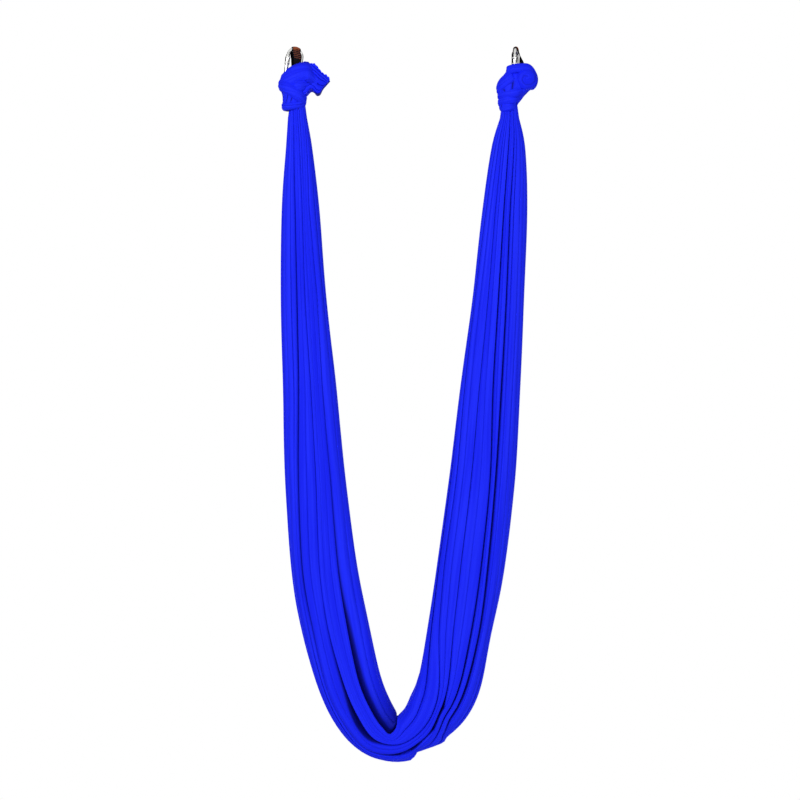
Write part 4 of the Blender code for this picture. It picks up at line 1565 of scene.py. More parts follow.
@dataclass(frozen=True)
class Sling:
    """The hanging cloth: one open sheet, gathered into folds round an empty middle."""

    kit: Kit
    cut_width: float = 2.8
    cut_length: float = 3.92
    leg_pitch: float = 20 * MM
    seat_pitch: float = 9 * MM
    squareness: float = 2.4
    into_knot: float = 43 * MM
    neck_rows: int = 5
    neck_shrink: float = 0.2
    edge_lap: float = 362.0
    edge_fall: float = 6.0
    wrinkle: float = 1.3 * MM
    crown: float = 0.05
    slot: float = 1.8
    broad_fall: float = 16.0 * MM
    # Falls at which the painted crease shade starts and is full
    shade_from: float = 1.0 * MM
    shade_to: float = 11.0 * MM
    hem_from: float = 30.0 * MM
    hem_pitch: float = 4.5 * MM
    hem_inset: float = 2.2 * MM

    def rows(self) -> tuple[Array, Array]:
        """Space the rows along the route.

        Returns:
            Each row's station, and how far it is lifted into a knot.
        """
        fine = np.linspace(0, len(SLING_ROUTE) - 1, 2201)
        route = smooth_between(SLING_ROUTE, fine)
        span = (HOOK_SPACING + RIGHT_NECK - LEFT_NECK) / 2
        step = np.hypot(np.diff(route[:, 0] * span), np.diff(route[:, 1] * SLING_DROP))
        seat = keyed(((6, 0), (7.5, 1), (14.5, 1), (16, 0)), fine, 0.4)
        pitch = self.leg_pitch + (self.seat_pitch - self.leg_pitch) * seat[1:]
        count = summed(step / pitch)
        at = np.interp(np.linspace(0, count[-1], int(count[-1]) + 1), count, fine)
        lifts = np.linspace(self.into_knot, 0.0, self.neck_rows, endpoint=False)
        none = np.zeros(len(at))
        ends = np.zeros(self.neck_rows)
        stations = np.concatenate((ends, at, ends + fine[-1]))
        return stations, np.concatenate((lifts, none, lifts[::-1]))

    def folds(self, at: Array) -> tuple[list[Array], list[Fold]]:
        """Lay out every fold.

        Args:
            at: Station of each row.

        Returns:
            The angle of each fold along the rows, with the free edges first and last, and the folds.
        """
        edge = keyed(FREE_EDGE, at, 0.8)
        mains = [keyed(POUCH_MOUTH, at, 0.22)]
        mains += [keyed(keys, at) for keys in (POUCH_LIP, LEFT_CREASE, MIDDLE_CREASE, RIGHT_CREASE)]
        stops = [edge, *mains, edge + self.edge_lap]
        angles, folds = [edge], []
        for index, (start, end) in enumerate(zip(stops, stops[1:])):
            for place, share in enumerate(SMALL_FOLDS[index]):
                seed = 7.0 * index + place
                wander = 0.09 * soft_noise(seed * 3.1, at * 0.45, 0.7)
                room = min(share, 1.0 - share, 0.2) * 4.0
                angles.append(start + (end - start) * (share + wander * room * 0.6))
                shallow = ((0, 0.4), (22, 0.4))
                swell = soft_noise(seed * 1.7, np.arange(23) * 0.27, 5.1)
                deep = tuple((stop, 0.4 + 9.0 * max(0.0, value - 0.12)) for stop, value in enumerate(swell))
                onward = (index * 5 + place * 3) % 2 == 0
                folds.append(Fold(shallow if onward else deep, deep if onward else shallow, onward, 0.9))
            if index < len(MAIN_FOLDS):
                angles.append(end)
                folds.append(MAIN_FOLDS[index])
        angles.append(stops[-1])
        return angles, folds

    def outline(self, angle: Array, wide: Array, deep: Array) -> tuple[Array, Array]:
        """Place on the section's outline.

        Args:
            angle: Angle in radians.
            wide: Half width of the section.
            deep: Half depth of the section.

        Returns:
            How far it lies towards the inside of the U, and towards the front.
        """
        cosine, sine = np.cos(angle), np.sin(angle)
        bulge = np.maximum(0.0, 1.0 - np.abs(cosine) ** self.squareness) ** (1.0 / self.squareness)
        return wide * cosine, deep * np.sign(sine) * bulge

    def columns(self, at: Array, wide: Array, deep: Array) -> tuple[Array, ...]:
        """Lay every column of the sheet on the section.

        Args:
            at: Station of each row.
            wide: Half width of each row's section.
            deep: Half depth of each row's section.

        Returns:
            Angle in radians and fall in metres of each column (columns by rows), and each column's place in
            its lobe, which is 0 in a crease.
        """
        degrees, folds = self.folds(at)
        centres = [np.radians(each) for each in degrees]
        size = wide / (SLING_WIDTH / 2)
        angles, falls, shares = [], [], []

        def add(angle: Array, fall: Array, share: float = 0.0) -> None:
            """Add one column.

            Args:
                angle: Its angle in each row.
                fall: Its fall in each row.
                share: Its place in its lobe.
            """
            angles.append(angle)
            falls.append(fall)
            shares.append(share)

        def speed(angle: Array) -> Array:
            """Measure how fast the outline runs on with its angle.

            Args:
                angle: Where, in each row.

            Returns:
                Metres for each radian.
            """
            step = math.radians(2.0)
            first = self.outline(angle - step, wide, deep)
            second = self.outline(angle + step, wide, deep)
            return np.hypot(second[0] - first[0], second[1] - first[1]) / (2 * step)

        start_angle, start_fall = centres[0], np.zeros(len(at))
        add(start_angle, start_fall)
        for index, centre in enumerate(centres[1:]):
            last = index == len(folds)
            rate = speed(centre)
            across, front = self.outline(centre, wide, deep)
            reach = np.hypot(across - (wide - deep) * 0.9 * np.cos(centre), front)
            if last:
                end_angle, end_fall = centre, np.full(len(at), self.edge_fall * MM) * size
            else:
                fold = folds[index]
                sign = 1.0 if fold.laps_onward else -1.0
                before = keyed(fold.before, at) * MM * size
                after = keyed(fold.after, at) * MM * size
                upper, lower = (before, after) if fold.laps_onward else (after, before)
                turn = sign * MM * size / rate
                floor = np.minimum(np.maximum(0.8 * reach, lower + 5 * MM * size), 0.93 * reach)
                upper_side = (
                    (centre + fold.lap * turn, upper),
                    (centre + 0.45 * fold.lap * turn, upper + 0.9 * MM * size),
                    (centre - 0.5 * turn, upper + 1.5 * MM * size),
                    (centre - fold.bottom * turn, floor),
                )
                slot = keyed(fold.open, at, 0.25) * self.slot * turn
                lower_side = (
                    (centre + 1.3 * turn + slot, lower),
                    (centre + 0.8 * turn + slot, np.minimum(lower + 1.6 * MM * size, floor)),
                    (centre + 0.8 * turn + 0.6 * slot, (lower + floor) / 2),
                    (centre + fold.bottom * turn, floor),
                )
                sides = (upper_side, lower_side) if fold.laps_onward else (lower_side, upper_side)
                end_angle, end_fall = sides[0][0]
            width_mean = float(np.mean((end_angle - start_angle) * rate))
            inner = int(np.clip(round(width_mean / (2.6 * MM)), 6, 12))
            lobe = np.maximum((end_angle - start_angle) * rate, 0.0)
            settle = 0.35 + 0.45 * smooth_step(start_fall / self.broad_fall)
            rise = 0.35 + 0.45 * smooth_step(end_fall / self.broad_fall)
            for step in range(1, inner + 1):
                share = step / (inner + 1)
                fall = start_fall * (1.0 - smooth_step(share / settle))
                fall = fall + end_fall * smooth_step((share - 1.0 + rise) / rise)
                fall = fall - self.crown * lobe * 4.0 * share * (1.0 - share)
                add(start_angle + (end_angle - start_angle) * share, fall, share)
            if last:
                add(end_angle, end_fall)
                break
            for angle, fall in (*sides[0], *sides[1][::-1]):
                add(angle, fall)
            start_angle, start_fall = sides[1][0]
        return np.array(angles), np.array(falls), np.array(shares)

    def build(self) -> list[Piece]:
        """Build the sheet and the sewing on its outer free edge.

        Returns:
            The sheet and its hem stitches.
        """
        at, lift = self.rows()
        route = smooth_between(SLING_ROUTE, at)
        span = (HOOK_SPACING + RIGHT_NECK - LEFT_NECK) / 2
        middle = LEFT_NECK + span
        height = NECK_AXIS_Z - SLING_DROP * route[:, 1] + lift
        centre = np.stack((middle + span * route[:, 0], height), axis=1)
        way = np.gradient(centre, axis=0)
        neck = smooth_step(1.0 - np.minimum(at, len(SLING_ROUTE) - 1 - at) / 0.8)[:, None]
        upright = np.stack((np.zeros(len(at)), np.where(at < 11, -1.0, 1.0)), axis=1)
        way = unit(unit(way) * (1 - neck) + upright * neck)
        shrink = 1.0 - self.neck_shrink * lift / self.into_knot
        wide = route[:, 2] * SLING_WIDTH / 2 * shrink
        deep = route[:, 3] * SLING_DEPTH / 2 * shrink
        angle, fall, share = self.columns(at, wide, deep)

        along = run_along(centre)
        # Painted shade: corners that fall deeper below the outline are painted darker, and the inside of the
        # pouch about the seat is painted dark too
        painted_shade = smooth_step((fall - self.shade_from) / (self.shade_to - self.shade_from))
        mouth = np.radians(keyed(POUCH_MOUTH, at, 0.22))
        inside = smooth_step((angle + 1.3) / 0.6) * (angle < mouth)
        pouch_shade = keyed(((7.4, 0), (9.2, 0.45), (10.2, 0.7), (11, 0.8), (12, 0.3), (12.6, 0)), at, 0.3)
        painted_shade = np.maximum(painted_shade, inside * pouch_shade)
        across, front = self.outline(angle, wide, deep)
        core = (wide - deep) * 0.9 * np.cos(angle)
        reach = np.hypot(across - core, front) + 1e-6
        flat = summed(np.hypot(np.diff(across, axis=0), np.diff(front, axis=0)).mean(axis=1))
        for column in np.nonzero(share)[0]:
            mask = math.sin(math.pi * share[column]) * self.wrinkle
            ripple = soft_noise(flat[column] * 70.0, along * 2.2, 4.0)
            ripple += 0.45 * soft_noise(flat[column] * 160.0, along * 5.0, 9.0)
            fall[column] += mask * ripple * (0.35 + 0.65 * wide / (SLING_WIDTH / 2))
        fall += keyed(SEAT_STEPS, at, 0.08) * MM * smooth_step((-np.cos(angle) - 0.6) / 0.3)
        across = across + (core - across) * fall / reach
        front = front * (1.0 - fall / reach)
        aside, level = centre[:, 0] - way[:, 1] * across, centre[:, 1] + way[:, 0] * across
        points = np.stack((aside, -front, level), axis=-1).transpose(1, 0, 2)
        count, columns = points.shape[:2]

        width = summed(np.linalg.norm(np.diff(points, axis=1), axis=2).mean(axis=0))
        width *= self.cut_width / width[-1]
        uvs = np.stack((np.tile(width, (count, 1)), np.repeat(along[:, None], columns, axis=1)), axis=-1)
        corners, faces = points.reshape(-1, 3), grid_faces(count, columns)
        sheet = build_object("sling_sheet", corners, faces, self.kit.cloth, uvs.reshape(-1, 2), painted_shade.T)
        outward = self.faces_out(sheet, points)
        LOG.info("sling: %d rows, %d columns, outward %.2f", count, columns, outward)
        return [sheet, self.hem(points)]

    @staticmethod
    def faces_out(sheet: Piece, points: Array) -> float:
        """Turn the sheet so that its faces point away from its middle.

        Args:
            sheet: The sheet.
            points: Its corners, by row and column.

        Returns:
            The share of its area that pointed out before.
        """
        count = len(sheet.data.polygons)
        normals, centres, areas = np.zeros(count * 3), np.zeros(count * 3), np.zeros(count)
        sheet.data.polygons.foreach_get("normal", normals)
        sheet.data.polygons.foreach_get("center", centres)
        sheet.data.polygons.foreach_get("area", areas)
        middle = points.mean(axis=1)
        rows = np.arange(count) // (points.shape[1] - 1)
        away = centres.reshape(-1, 3) - middle[rows]
        facing = np.einsum("ij,ij->i", away, normals.reshape(-1, 3))
        if float((facing * areas).sum()) < 0:
            sheet.data.flip_normals()
        return float((areas * (facing > 0)).sum() / areas.sum())

    def hem(self, points: Array) -> Piece:
        """Sew over the outer free edge of the sheet.

        Args:
            points: Corners of the sheet by row and column.

        Returns:
            The stitches.
        """
        length = run_along(points[:, 0])
        stops = np.arange(self.hem_from, length[-1] - self.hem_from, self.hem_pitch)
        edge, beside = (read_at(stops, length, points[:, column]) for column in (0, 1))
        run, into = unit(np.gradient(edge, axis=0)), unit(beside - edge)
        middles = edge + into * self.hem_inset
        size, out = (5.0 * MM, 0.9 * MM, 0.9 * MM), np.cross(run, into)
        finish = self.kit.hem_thread
        return self.kit.beads.lay("sling_hem", middles, into + 0.5 * run, out, size, finish, rounding=1)


@dataclass(frozen=True)
class ClothBand:
    """A bunch of gathered cloth that runs over a knot.

    Its path is the line of its crest, and all its sizes are in millimetres.
    """

    path: tuple
    width: float
    thick: float
    pleats: int
    seed: float
    middle: tuple = (0.0, 0.0)
    taper: float = 14.0
    fade: float = 14.0
    pitch: float = 2.5
    across: int = 61
    relief: float = 1.0

    def rings(self) -> tuple[Array, Array, Array]:
        """Lay the pleated front and the plain back along the path.

        Returns:
            Rings of corners, their flat places in millimetres, and the shade painted on them.
        """
        stops = np.array(self.path, dtype=float)
        fine = smooth_between(stops, np.linspace(0, len(stops) - 1, 900))
        length = run_along(fine)
        at = np.linspace(0.0, length[-1], max(10, int(length[-1] / self.pitch)))
        crest = read_at(at, length, fine)
        way = unit(np.gradient(crest, axis=0))
        out = crest - np.column_stack((np.tile(self.middle, (len(at), 1)), crest[:, 2]))
        out = unit(out - way * np.sum(out * way, axis=1, keepdims=True))
        side = np.cross(way, out)
        ends = smooth_step(np.minimum(at / self.taper, (length[-1] - at) / self.fade))
        crest = crest - out * (self.thick * 0.9 * (1 - ends))[:, None]
        share = np.linspace(-1.0, 1.0, self.across)
        dome = np.sqrt(np.maximum(0.0, 1.0 - np.abs(share) ** 2.4))
        rows, painted_shades = [], []
        for row in range(len(at)):
            drift = 0.9 * noise.noise(Vector((at[row] * 0.011, self.seed, 0.3)))
            place = self.pleats * share / 2 + drift + self.seed
            ridge = np.abs(np.cos(math.pi * place)) ** 0.55
            strength = self.relief * (0.13 + 0.10 * np.sin(1.7 * np.floor(place + 0.5) + self.seed))
            height = dome * (1.0 - strength + strength * ridge)
            ripple = soft_noise(share * self.width * 0.09, at[row] * 0.03, self.seed)
            rise = (height - 1.0) * self.thick + ripple * 0.9 * dome
            wide = self.width / 2 * (0.5 + 0.5 * ends[row])
            front = crest[row] + np.outer(share * wide, side[row]) + np.outer(rise, out[row])
            back_share = share[::-6] * 0.86
            back = crest[row] + np.outer(back_share * wide, side[row]) - out[row] * self.thick * 1.15
            rows.append(np.concatenate((front, back)))
            # Painted shade: dark in the valleys of the pleats and along both edges of the front, and dark
            # over the whole back
            sunk = np.clip(strength * (1.0 - ridge) * 5.0 - 0.25, 0.0, 1.0)
            sunk = sunk + 0.55 * self.relief * np.abs(share) ** 7
            painted_shades.append(np.concatenate((sunk, np.full(len(back), 0.9))))
        flat_share = np.concatenate((share, share[::-6] * 0.86 + 2.0)) * self.width * 0.7
        uvs = np.stack(np.broadcast_arrays(flat_share[None, :], at[:, None]), axis=-1)
        return np.array(rows), uvs, np.clip(np.array(painted_shades), 0.0, 1.0)


def gathered(
    name: str, hook: float, shells: Sequence[tuple], finish: Material, tools: Sequence[Piece]
) -> Piece:
    """Skin shells of cloth, clear of the hardware, as one mesh.

    Args:
        name: Its name.
        hook: Place of the seat that the shells are measured from.
        shells: Each shell's rings, flat places and painted shade, with bunches after the first.
        finish: Its material.
        tools: Solids that are cut out.

    Returns:
        The mesh.
    """
    parts = []
    for index, (rings, maps, fold) in enumerate(shells):
        places = rings * MM + np.array((hook, 0.0, 0.0))
        part = loft_object(f"{name}_{index}", places, finish, uvs=maps * MM, fold=fold)
        parts.append(shaped(part, near(part, tools), f"{name}_{index}", 60.0, crossing=index > 0))
    return joined(name, parts)


@dataclass(frozen=True)
class Knot:
    """Cloth knotted round a carabiner: a pleated core and the bunches that wrap it."""

    carabiner: Carabiner
    outline: tuple
    drift: float
    bands: tuple
    top: float = 46.0
    bottom: float = 181.0
    reach: float = 60.0
    depth: float = 42.0
    inset: float = 5.0
    tuck: float = 2.0
    pleats: int = 9
    fold: float = 2.6
    around: int = 260
    pitch: float = 2.5

    def core(self) -> tuple[Array, Array, Array]:
        """Loft the core through its outline, drawn in below the bunches and pleated aslant.

        Returns:
            Rings of corners, their flat places in millimetres, and the shade painted in their pleats.
        """
        table = np.array(self.outline)
        count = int((self.bottom - self.top) / self.pitch)
        fine = smooth_between(table, np.linspace(0, len(table) - 1, count))
        turn = 2 * math.pi * np.arange(self.around) / self.around
        rings, maps, painted_shades = [], [], []
        for down, left, right, deep in fine:
            level = -self.top - (self.bottom - self.top) * down
            drawn = self.inset * smooth_step(np.array(down * 6.0)) + self.tuck * max(0.0, down - 0.9) * 10.0
            half = self.reach * (right - left) / 2 - drawn
            depth = self.depth * deep - drawn
            ease = min(1.0, 4.0 * min(down + 0.05, 1.02 - down))
            place = self.pleats * turn / (2 * math.pi) + self.drift * down / 2
            wander = 0.5 * soft_noise(np.cos(turn) * 1.3, np.sin(turn) * 1.3, down * 2.0)
            valley = 1.0 - np.abs(np.cos(math.pi * (place + wander))) ** 0.5
            draw = self.fold * ease * valley
            x = self.reach * (left + right) / 2 + (half - draw) * np.cos(turn)
            rings.append(np.column_stack((x, (depth - draw) * np.sin(turn), np.full(self.around, level))))
            maps.append(np.column_stack((turn * 45.0, np.full(self.around, level))))
            # Painted shade in the valleys of the pleats
            painted_shades.append(np.clip(valley * 1.5 - 0.35, 0.0, 0.9))
        return np.array(rings), np.array(maps), np.array(painted_shades)

    def build(self, tools: Sequence[Piece]) -> Piece:
        """Build the knot, clear of the hardware.

        Args:
            tools: Solids that are cut out.

        Returns:
            The knot as one mesh.
        """
        shells = [self.core(), *(band.rings() for band in self.bands)]
        name = f"{self.carabiner.end.value}_knot_cloth"
        return gathered(name, self.carabiner.hook, shells, self.carabiner.kit.cloth, tools)


@dataclass(frozen=True)
class FanTail:
    """Left free end: a sheet in soft loops that fans out to its cut end, in millimetres from the seat."""

    kit: Kit
    upper: tuple = ((14, -36), (22, -28), (37, -27), (58, -41), (78, -58), (92, -72), (107, -89))
    lower: tuple = ((18, -142), (34, -139), (47, -126), (56, -127), (65, -137), (75, -133), (80, -119))
    depth: tuple = (24.0, 27.0, 27.0, 26.0, 23.0, 20.0, 15.0)
    loops: int = 6
    per_loop: int = 36
    fullness: float = 0.34
    rows: int = 64
    ruffle: float = 4.6
    ruffle_pitch: float = 12.0
    hem_pitch: float = 4.0
    hem_inset: float = 1.6

    def build(self) -> list[Piece]:
        """Build the sheet and the stitches of its cut end.

        Returns:
            The sheet and its hem.
        """
        at = np.linspace(0.0, len(self.upper) - 1, self.rows)
        upper = smooth_between(np.array(self.upper, dtype=float), at)
        lower = smooth_between(np.array(self.lower, dtype=float), at)
        depth = smooth_between(np.array(self.depth)[:, None], at)[:, 0]
        steps = np.linspace(0.0, self.loops, self.loops * self.per_loop + 1)
        run = run_along(upper)
        rows, maps, painted_shades = [], [], []
        for row in range(self.rows):
            place = steps + 0.30 * soft_noise(steps * 0.5, run[row] * 0.02, 3.0)
            share = (place + self.fullness * np.sin(4 * math.pi * place)) / self.loops
            share = np.clip(share + 0.05 * np.sin(3 * math.pi * share + 0.8), -0.05, 1.05)
            spread = float(smooth_step(np.array(row / self.rows - 0.25) / 0.5))
            span = lower[row] - upper[row]
            flat = upper[row] + share[:, None] * span
            away = -unit(span)
            tooth = abs(math.sin(math.pi * run[row] / self.ruffle_pitch)) ** 0.7
            edge = np.clip(1.0 - share * 5.0, 0.0, 1.0) * min(1.0, run[row] / 30.0)
            flat = flat + np.outer(edge * self.ruffle * (tooth - 0.6), away)
            swing = np.cos(2 * math.pi * place)
            y = -depth[row] * np.sign(swing) * np.abs(swing) ** (0.1 + 0.4 * spread)
            # Painted shade on the walls between the front and the back of each loop, stronger towards the cut
            # end
            painted_shades.append((0.25 + 0.65 * spread) * smooth_step((0.86 - np.abs(swing)) / 0.5))
            y += 1.2 * soft_noise(steps * 1.7, run[row] * 0.05, 8.0)
            rows.append(np.column_stack((flat[:, 0], y, flat[:, 1])))
            maps.append(np.column_stack((steps * 80.0, np.full(len(steps), run[row]))))
        points = np.array(rows) * MM
        corners, faces = points.reshape(-1, 3), grid_faces(self.rows, len(steps))
        uvs = np.array(maps).reshape(-1, 2) * MM
        sheet = build_object("left_tail_cloth", corners, faces, self.kit.cloth, uvs, np.array(painted_shades))

        line = points[-1]
        length = run_along(line)
        stops = np.arange(0.0, length[-1], self.hem_pitch * MM)
        shapes = (line, np.gradient(line, axis=0), points[-1] - points[-2])
        edge, along, back = (read_at(stops, length, each) for each in shapes)
        into = -unit(back)
        middles = edge + into * self.hem_inset * MM
        size, out, finish = (4.0 * MM, MM, MM), np.cross(along, into), self.kit.hem_thread
        return [sheet, self.kit.beads.lay("left_tail_hem", middles, into, out, size, finish, rounding=1)]


@dataclass(frozen=True)
class RolledTail:
    """Right free end: rolled up, seen from its end, in millimetres from the right seat."""

    kit: Kit
    hook: float = HOOK_SPACING
    centre: tuple = (30.0, -90.0)
    radius: float = 30.5
    front: float = -47.0
    back: float = 22.0
    dome: float = 12.0
    rear_dome: float = 8.0
    turns: float = 1.15
    groove: float = 1.7
    around: int = 200
    bands: tuple = (
        ClothBand(
            ((-35, -30, -65), (-14, -40, -60), (10, -44, -58), (34, -38, -58), (50, -28, -70), (57, -18, -90),
             (51, -14, -106), (36, -14, -112)),
            28.0, 10.0, 2, 0.4, (22.0, 30.0), 7.0, relief=0.6,
        ),
        ClothBand(
            ((-6, 8, -64), (16, 12, -54), (42, 12, -60), (57, 10, -82), (54, 10, -100), (38, 8, -112)),
            30.0, 10.0, 2, 1.3, (26.0, -40.0), 10.0, relief=0.6,
        ),
    )

    def roll(self) -> tuple[Array, Array, Array]:
        """Loft the roll from the middle of its front, over the rim and back to its rear.

        Returns:
            Rings of corners, their flat places in millimetres, and the shade painted along the spiral crease.
        """
        turn = 2 * math.pi * np.arange(self.around) / self.around
        rings, maps, painted_shades = [], [], []
        plan = [(share, self.front + self.dome * share**2.6) for share in np.linspace(0.02, 1.0, 34)]
        rim, rear = plan[-1][1], self.back - self.rear_dome
        for part in np.linspace(0.05, 1, 16):
            plan.append((1.0 + 0.04 * math.sin(math.pi * part), rim + (rear - rim) * part))
        for part in np.linspace(0.1, 1.0, 10):
            plan.append((1.0 - 0.9 * part**1.5, rear + self.rear_dome * math.sin(part * math.pi / 2)))
        for share, level in plan:
            place = share * self.turns - turn / (2 * math.pi)
            gap = np.abs((place + 0.5) % 1.0 - 0.5)
            crease = np.exp(-((gap / 0.10) ** 2)) * min(1.0, share * 4.0)
            face = crease if level < 0 else crease * 0.3
            wave = 0.7 * np.cos(5 * turn + level * 0.1) + 0.4 * np.cos(9 * turn - level * 0.07)
            radius = share * (self.radius + wave * share) - (face * 1.4 if share > 0.98 else 0.0)
            y = level + (face * self.groove if level < self.front + self.dome + 1.0 else 0.0)
            x = np.maximum(self.centre[0] + radius * np.cos(turn), 4.0)
            z = self.centre[1] + radius * np.sin(turn)
            rings.append(np.column_stack((x, np.broadcast_to(y, turn.shape), z)))
            maps.append(np.column_stack((np.full(self.around, level + 30.0 * share), turn * 30.0)))
            # Painted shade along the spiral crease
            painted_shades.append(face * 0.4)
        return np.array(rings), np.array(maps), np.array(painted_shades)

    def build(self, tools: Sequence[Piece]) -> Piece:
        """Build the roll and its outer layers, clear of the hardware.

        Args:
            tools: Solids that are cut out.

        Returns:
            The tail as one mesh.
        """
        shells = [self.roll(), *(band.rings() for band in self.bands)]
        return gathered("right_tail_cloth", self.hook, shells, self.kit.cloth, tools)


# Outline of each knot from top to bottom, in shares: down, left and right of the seat, and depth
LEFT_OUTLINE = (
    (0.00, -0.08, 0.16, 0.16),
    (0.02, -0.22, 0.30, 0.38),
    (0.05, -0.32, 0.42, 0.51),
    (0.12, -0.45, 0.55, 0.67),
    (0.22, -0.65, 0.60, 0.83),
    (0.40, -0.85, 0.63, 0.95),
    (0.53, -0.80, 0.63, 0.96),
    (0.66, -0.72, 0.60, 0.90),
    (0.76, -0.71, 0.57, 0.83),
    (0.84, -0.70, 0.57, 0.83),
    (0.92, -0.60, 0.57, 0.79),
    (1.00, -0.40, 0.57, 0.64),
)
RIGHT_OUTLINE = (
    (0.00, -0.12, 0.26, 0.20),
    (0.02, -0.34, 0.46, 0.44),
    (0.06, -0.50, 0.63, 0.67),
    (0.16, -0.63, 0.73, 0.83),
    (0.28, -0.77, 0.83, 0.95),
    (0.42, -0.93, 0.87, 1.00),
    (0.54, -1.00, 0.77, 0.98),
    (0.66, -0.97, 0.52, 0.90),
    (0.76, -0.95, 0.35, 0.81),
    (0.86, -0.92, 0.18, 0.74),
    (0.94, -0.95, 0.13, 0.69),
    (1.00, -0.91, 0.13, 0.62),
)
LEFT_BANDS = (
    ClothBand(
        ((12, 30, -72), (-20, 32, -88), (-45, 14, -102), (-50, -6, -105), (-34, -31, -111), (-4, -40, -124),
         (22, -33, -138), (36, -8, -148), (26, 24, -146), (0, 34, -132)),
        42.0, 15.0, 3, 0.2, (-3.0, 0.0), relief=0.6,
    ),
    ClothBand(
        ((-36, 24, -94), (-46, 3, -97), (-37, -23, -95), (-12, -38, -84), (14, -42, -75), (38, -41, -71),
         (58, -36, -76), (78, -30, -88)),
        60.0, 16.0, 2, 1.7, (-3.0, 0.0), 14.0, 46.0,
    ),
    ClothBand(
        ((-24, -34, -112), (2, -40, -109), (28, -38, -106), (56, -29, -100)),
        44.0, 12.0, 2, 4.1, (-3.0, 0.0), 34.0, 44.0,
    ),
    ClothBand(
        ((2, 32, -162), (-22, 27, -166), (-40, 4, -167), (-34, -18, -167), (-12, -30, -166), (12, -29, -162),
         (30, -17, -157), (34, 2, -155), (24, 20, -156), (8, 28, -158)),
        30.0, 11.0, 3, 2.9, (-3.0, 0.0),
    ),
)
RIGHT_BANDS = (
    ClothBand(
        ((28, -20, -120), (0, -40, -132), (-34, -30, -136), (-56, -2, -136), (-40, 28, -138), (-8, 36, -139),
         (15, 16, -137), (14, -14, -141), (-8, -34, -149), (-38, -27, -153), (-55, 0, -156), (-38, 24, -156),
         (-12, 28, -158), (1, 8, -162), (-1, -14, -167), (-20, -29, -171), (-42, -19, -174), (-50, 2, -174)),
        27.0, 8.0, 3, 0.6, (-20.0, 0.0), relief=0.5,
    ),
    ClothBand(
        ((-40, 24, -128), (-59, 4, -116), (-52, -20, -104), (-34, -34, -92), (-20, -38, -82), (-4, -36, -72)),
        40.0, 12.0, 3, 2.2, (-10.0, 0.0), relief=0.6,
    ),
)


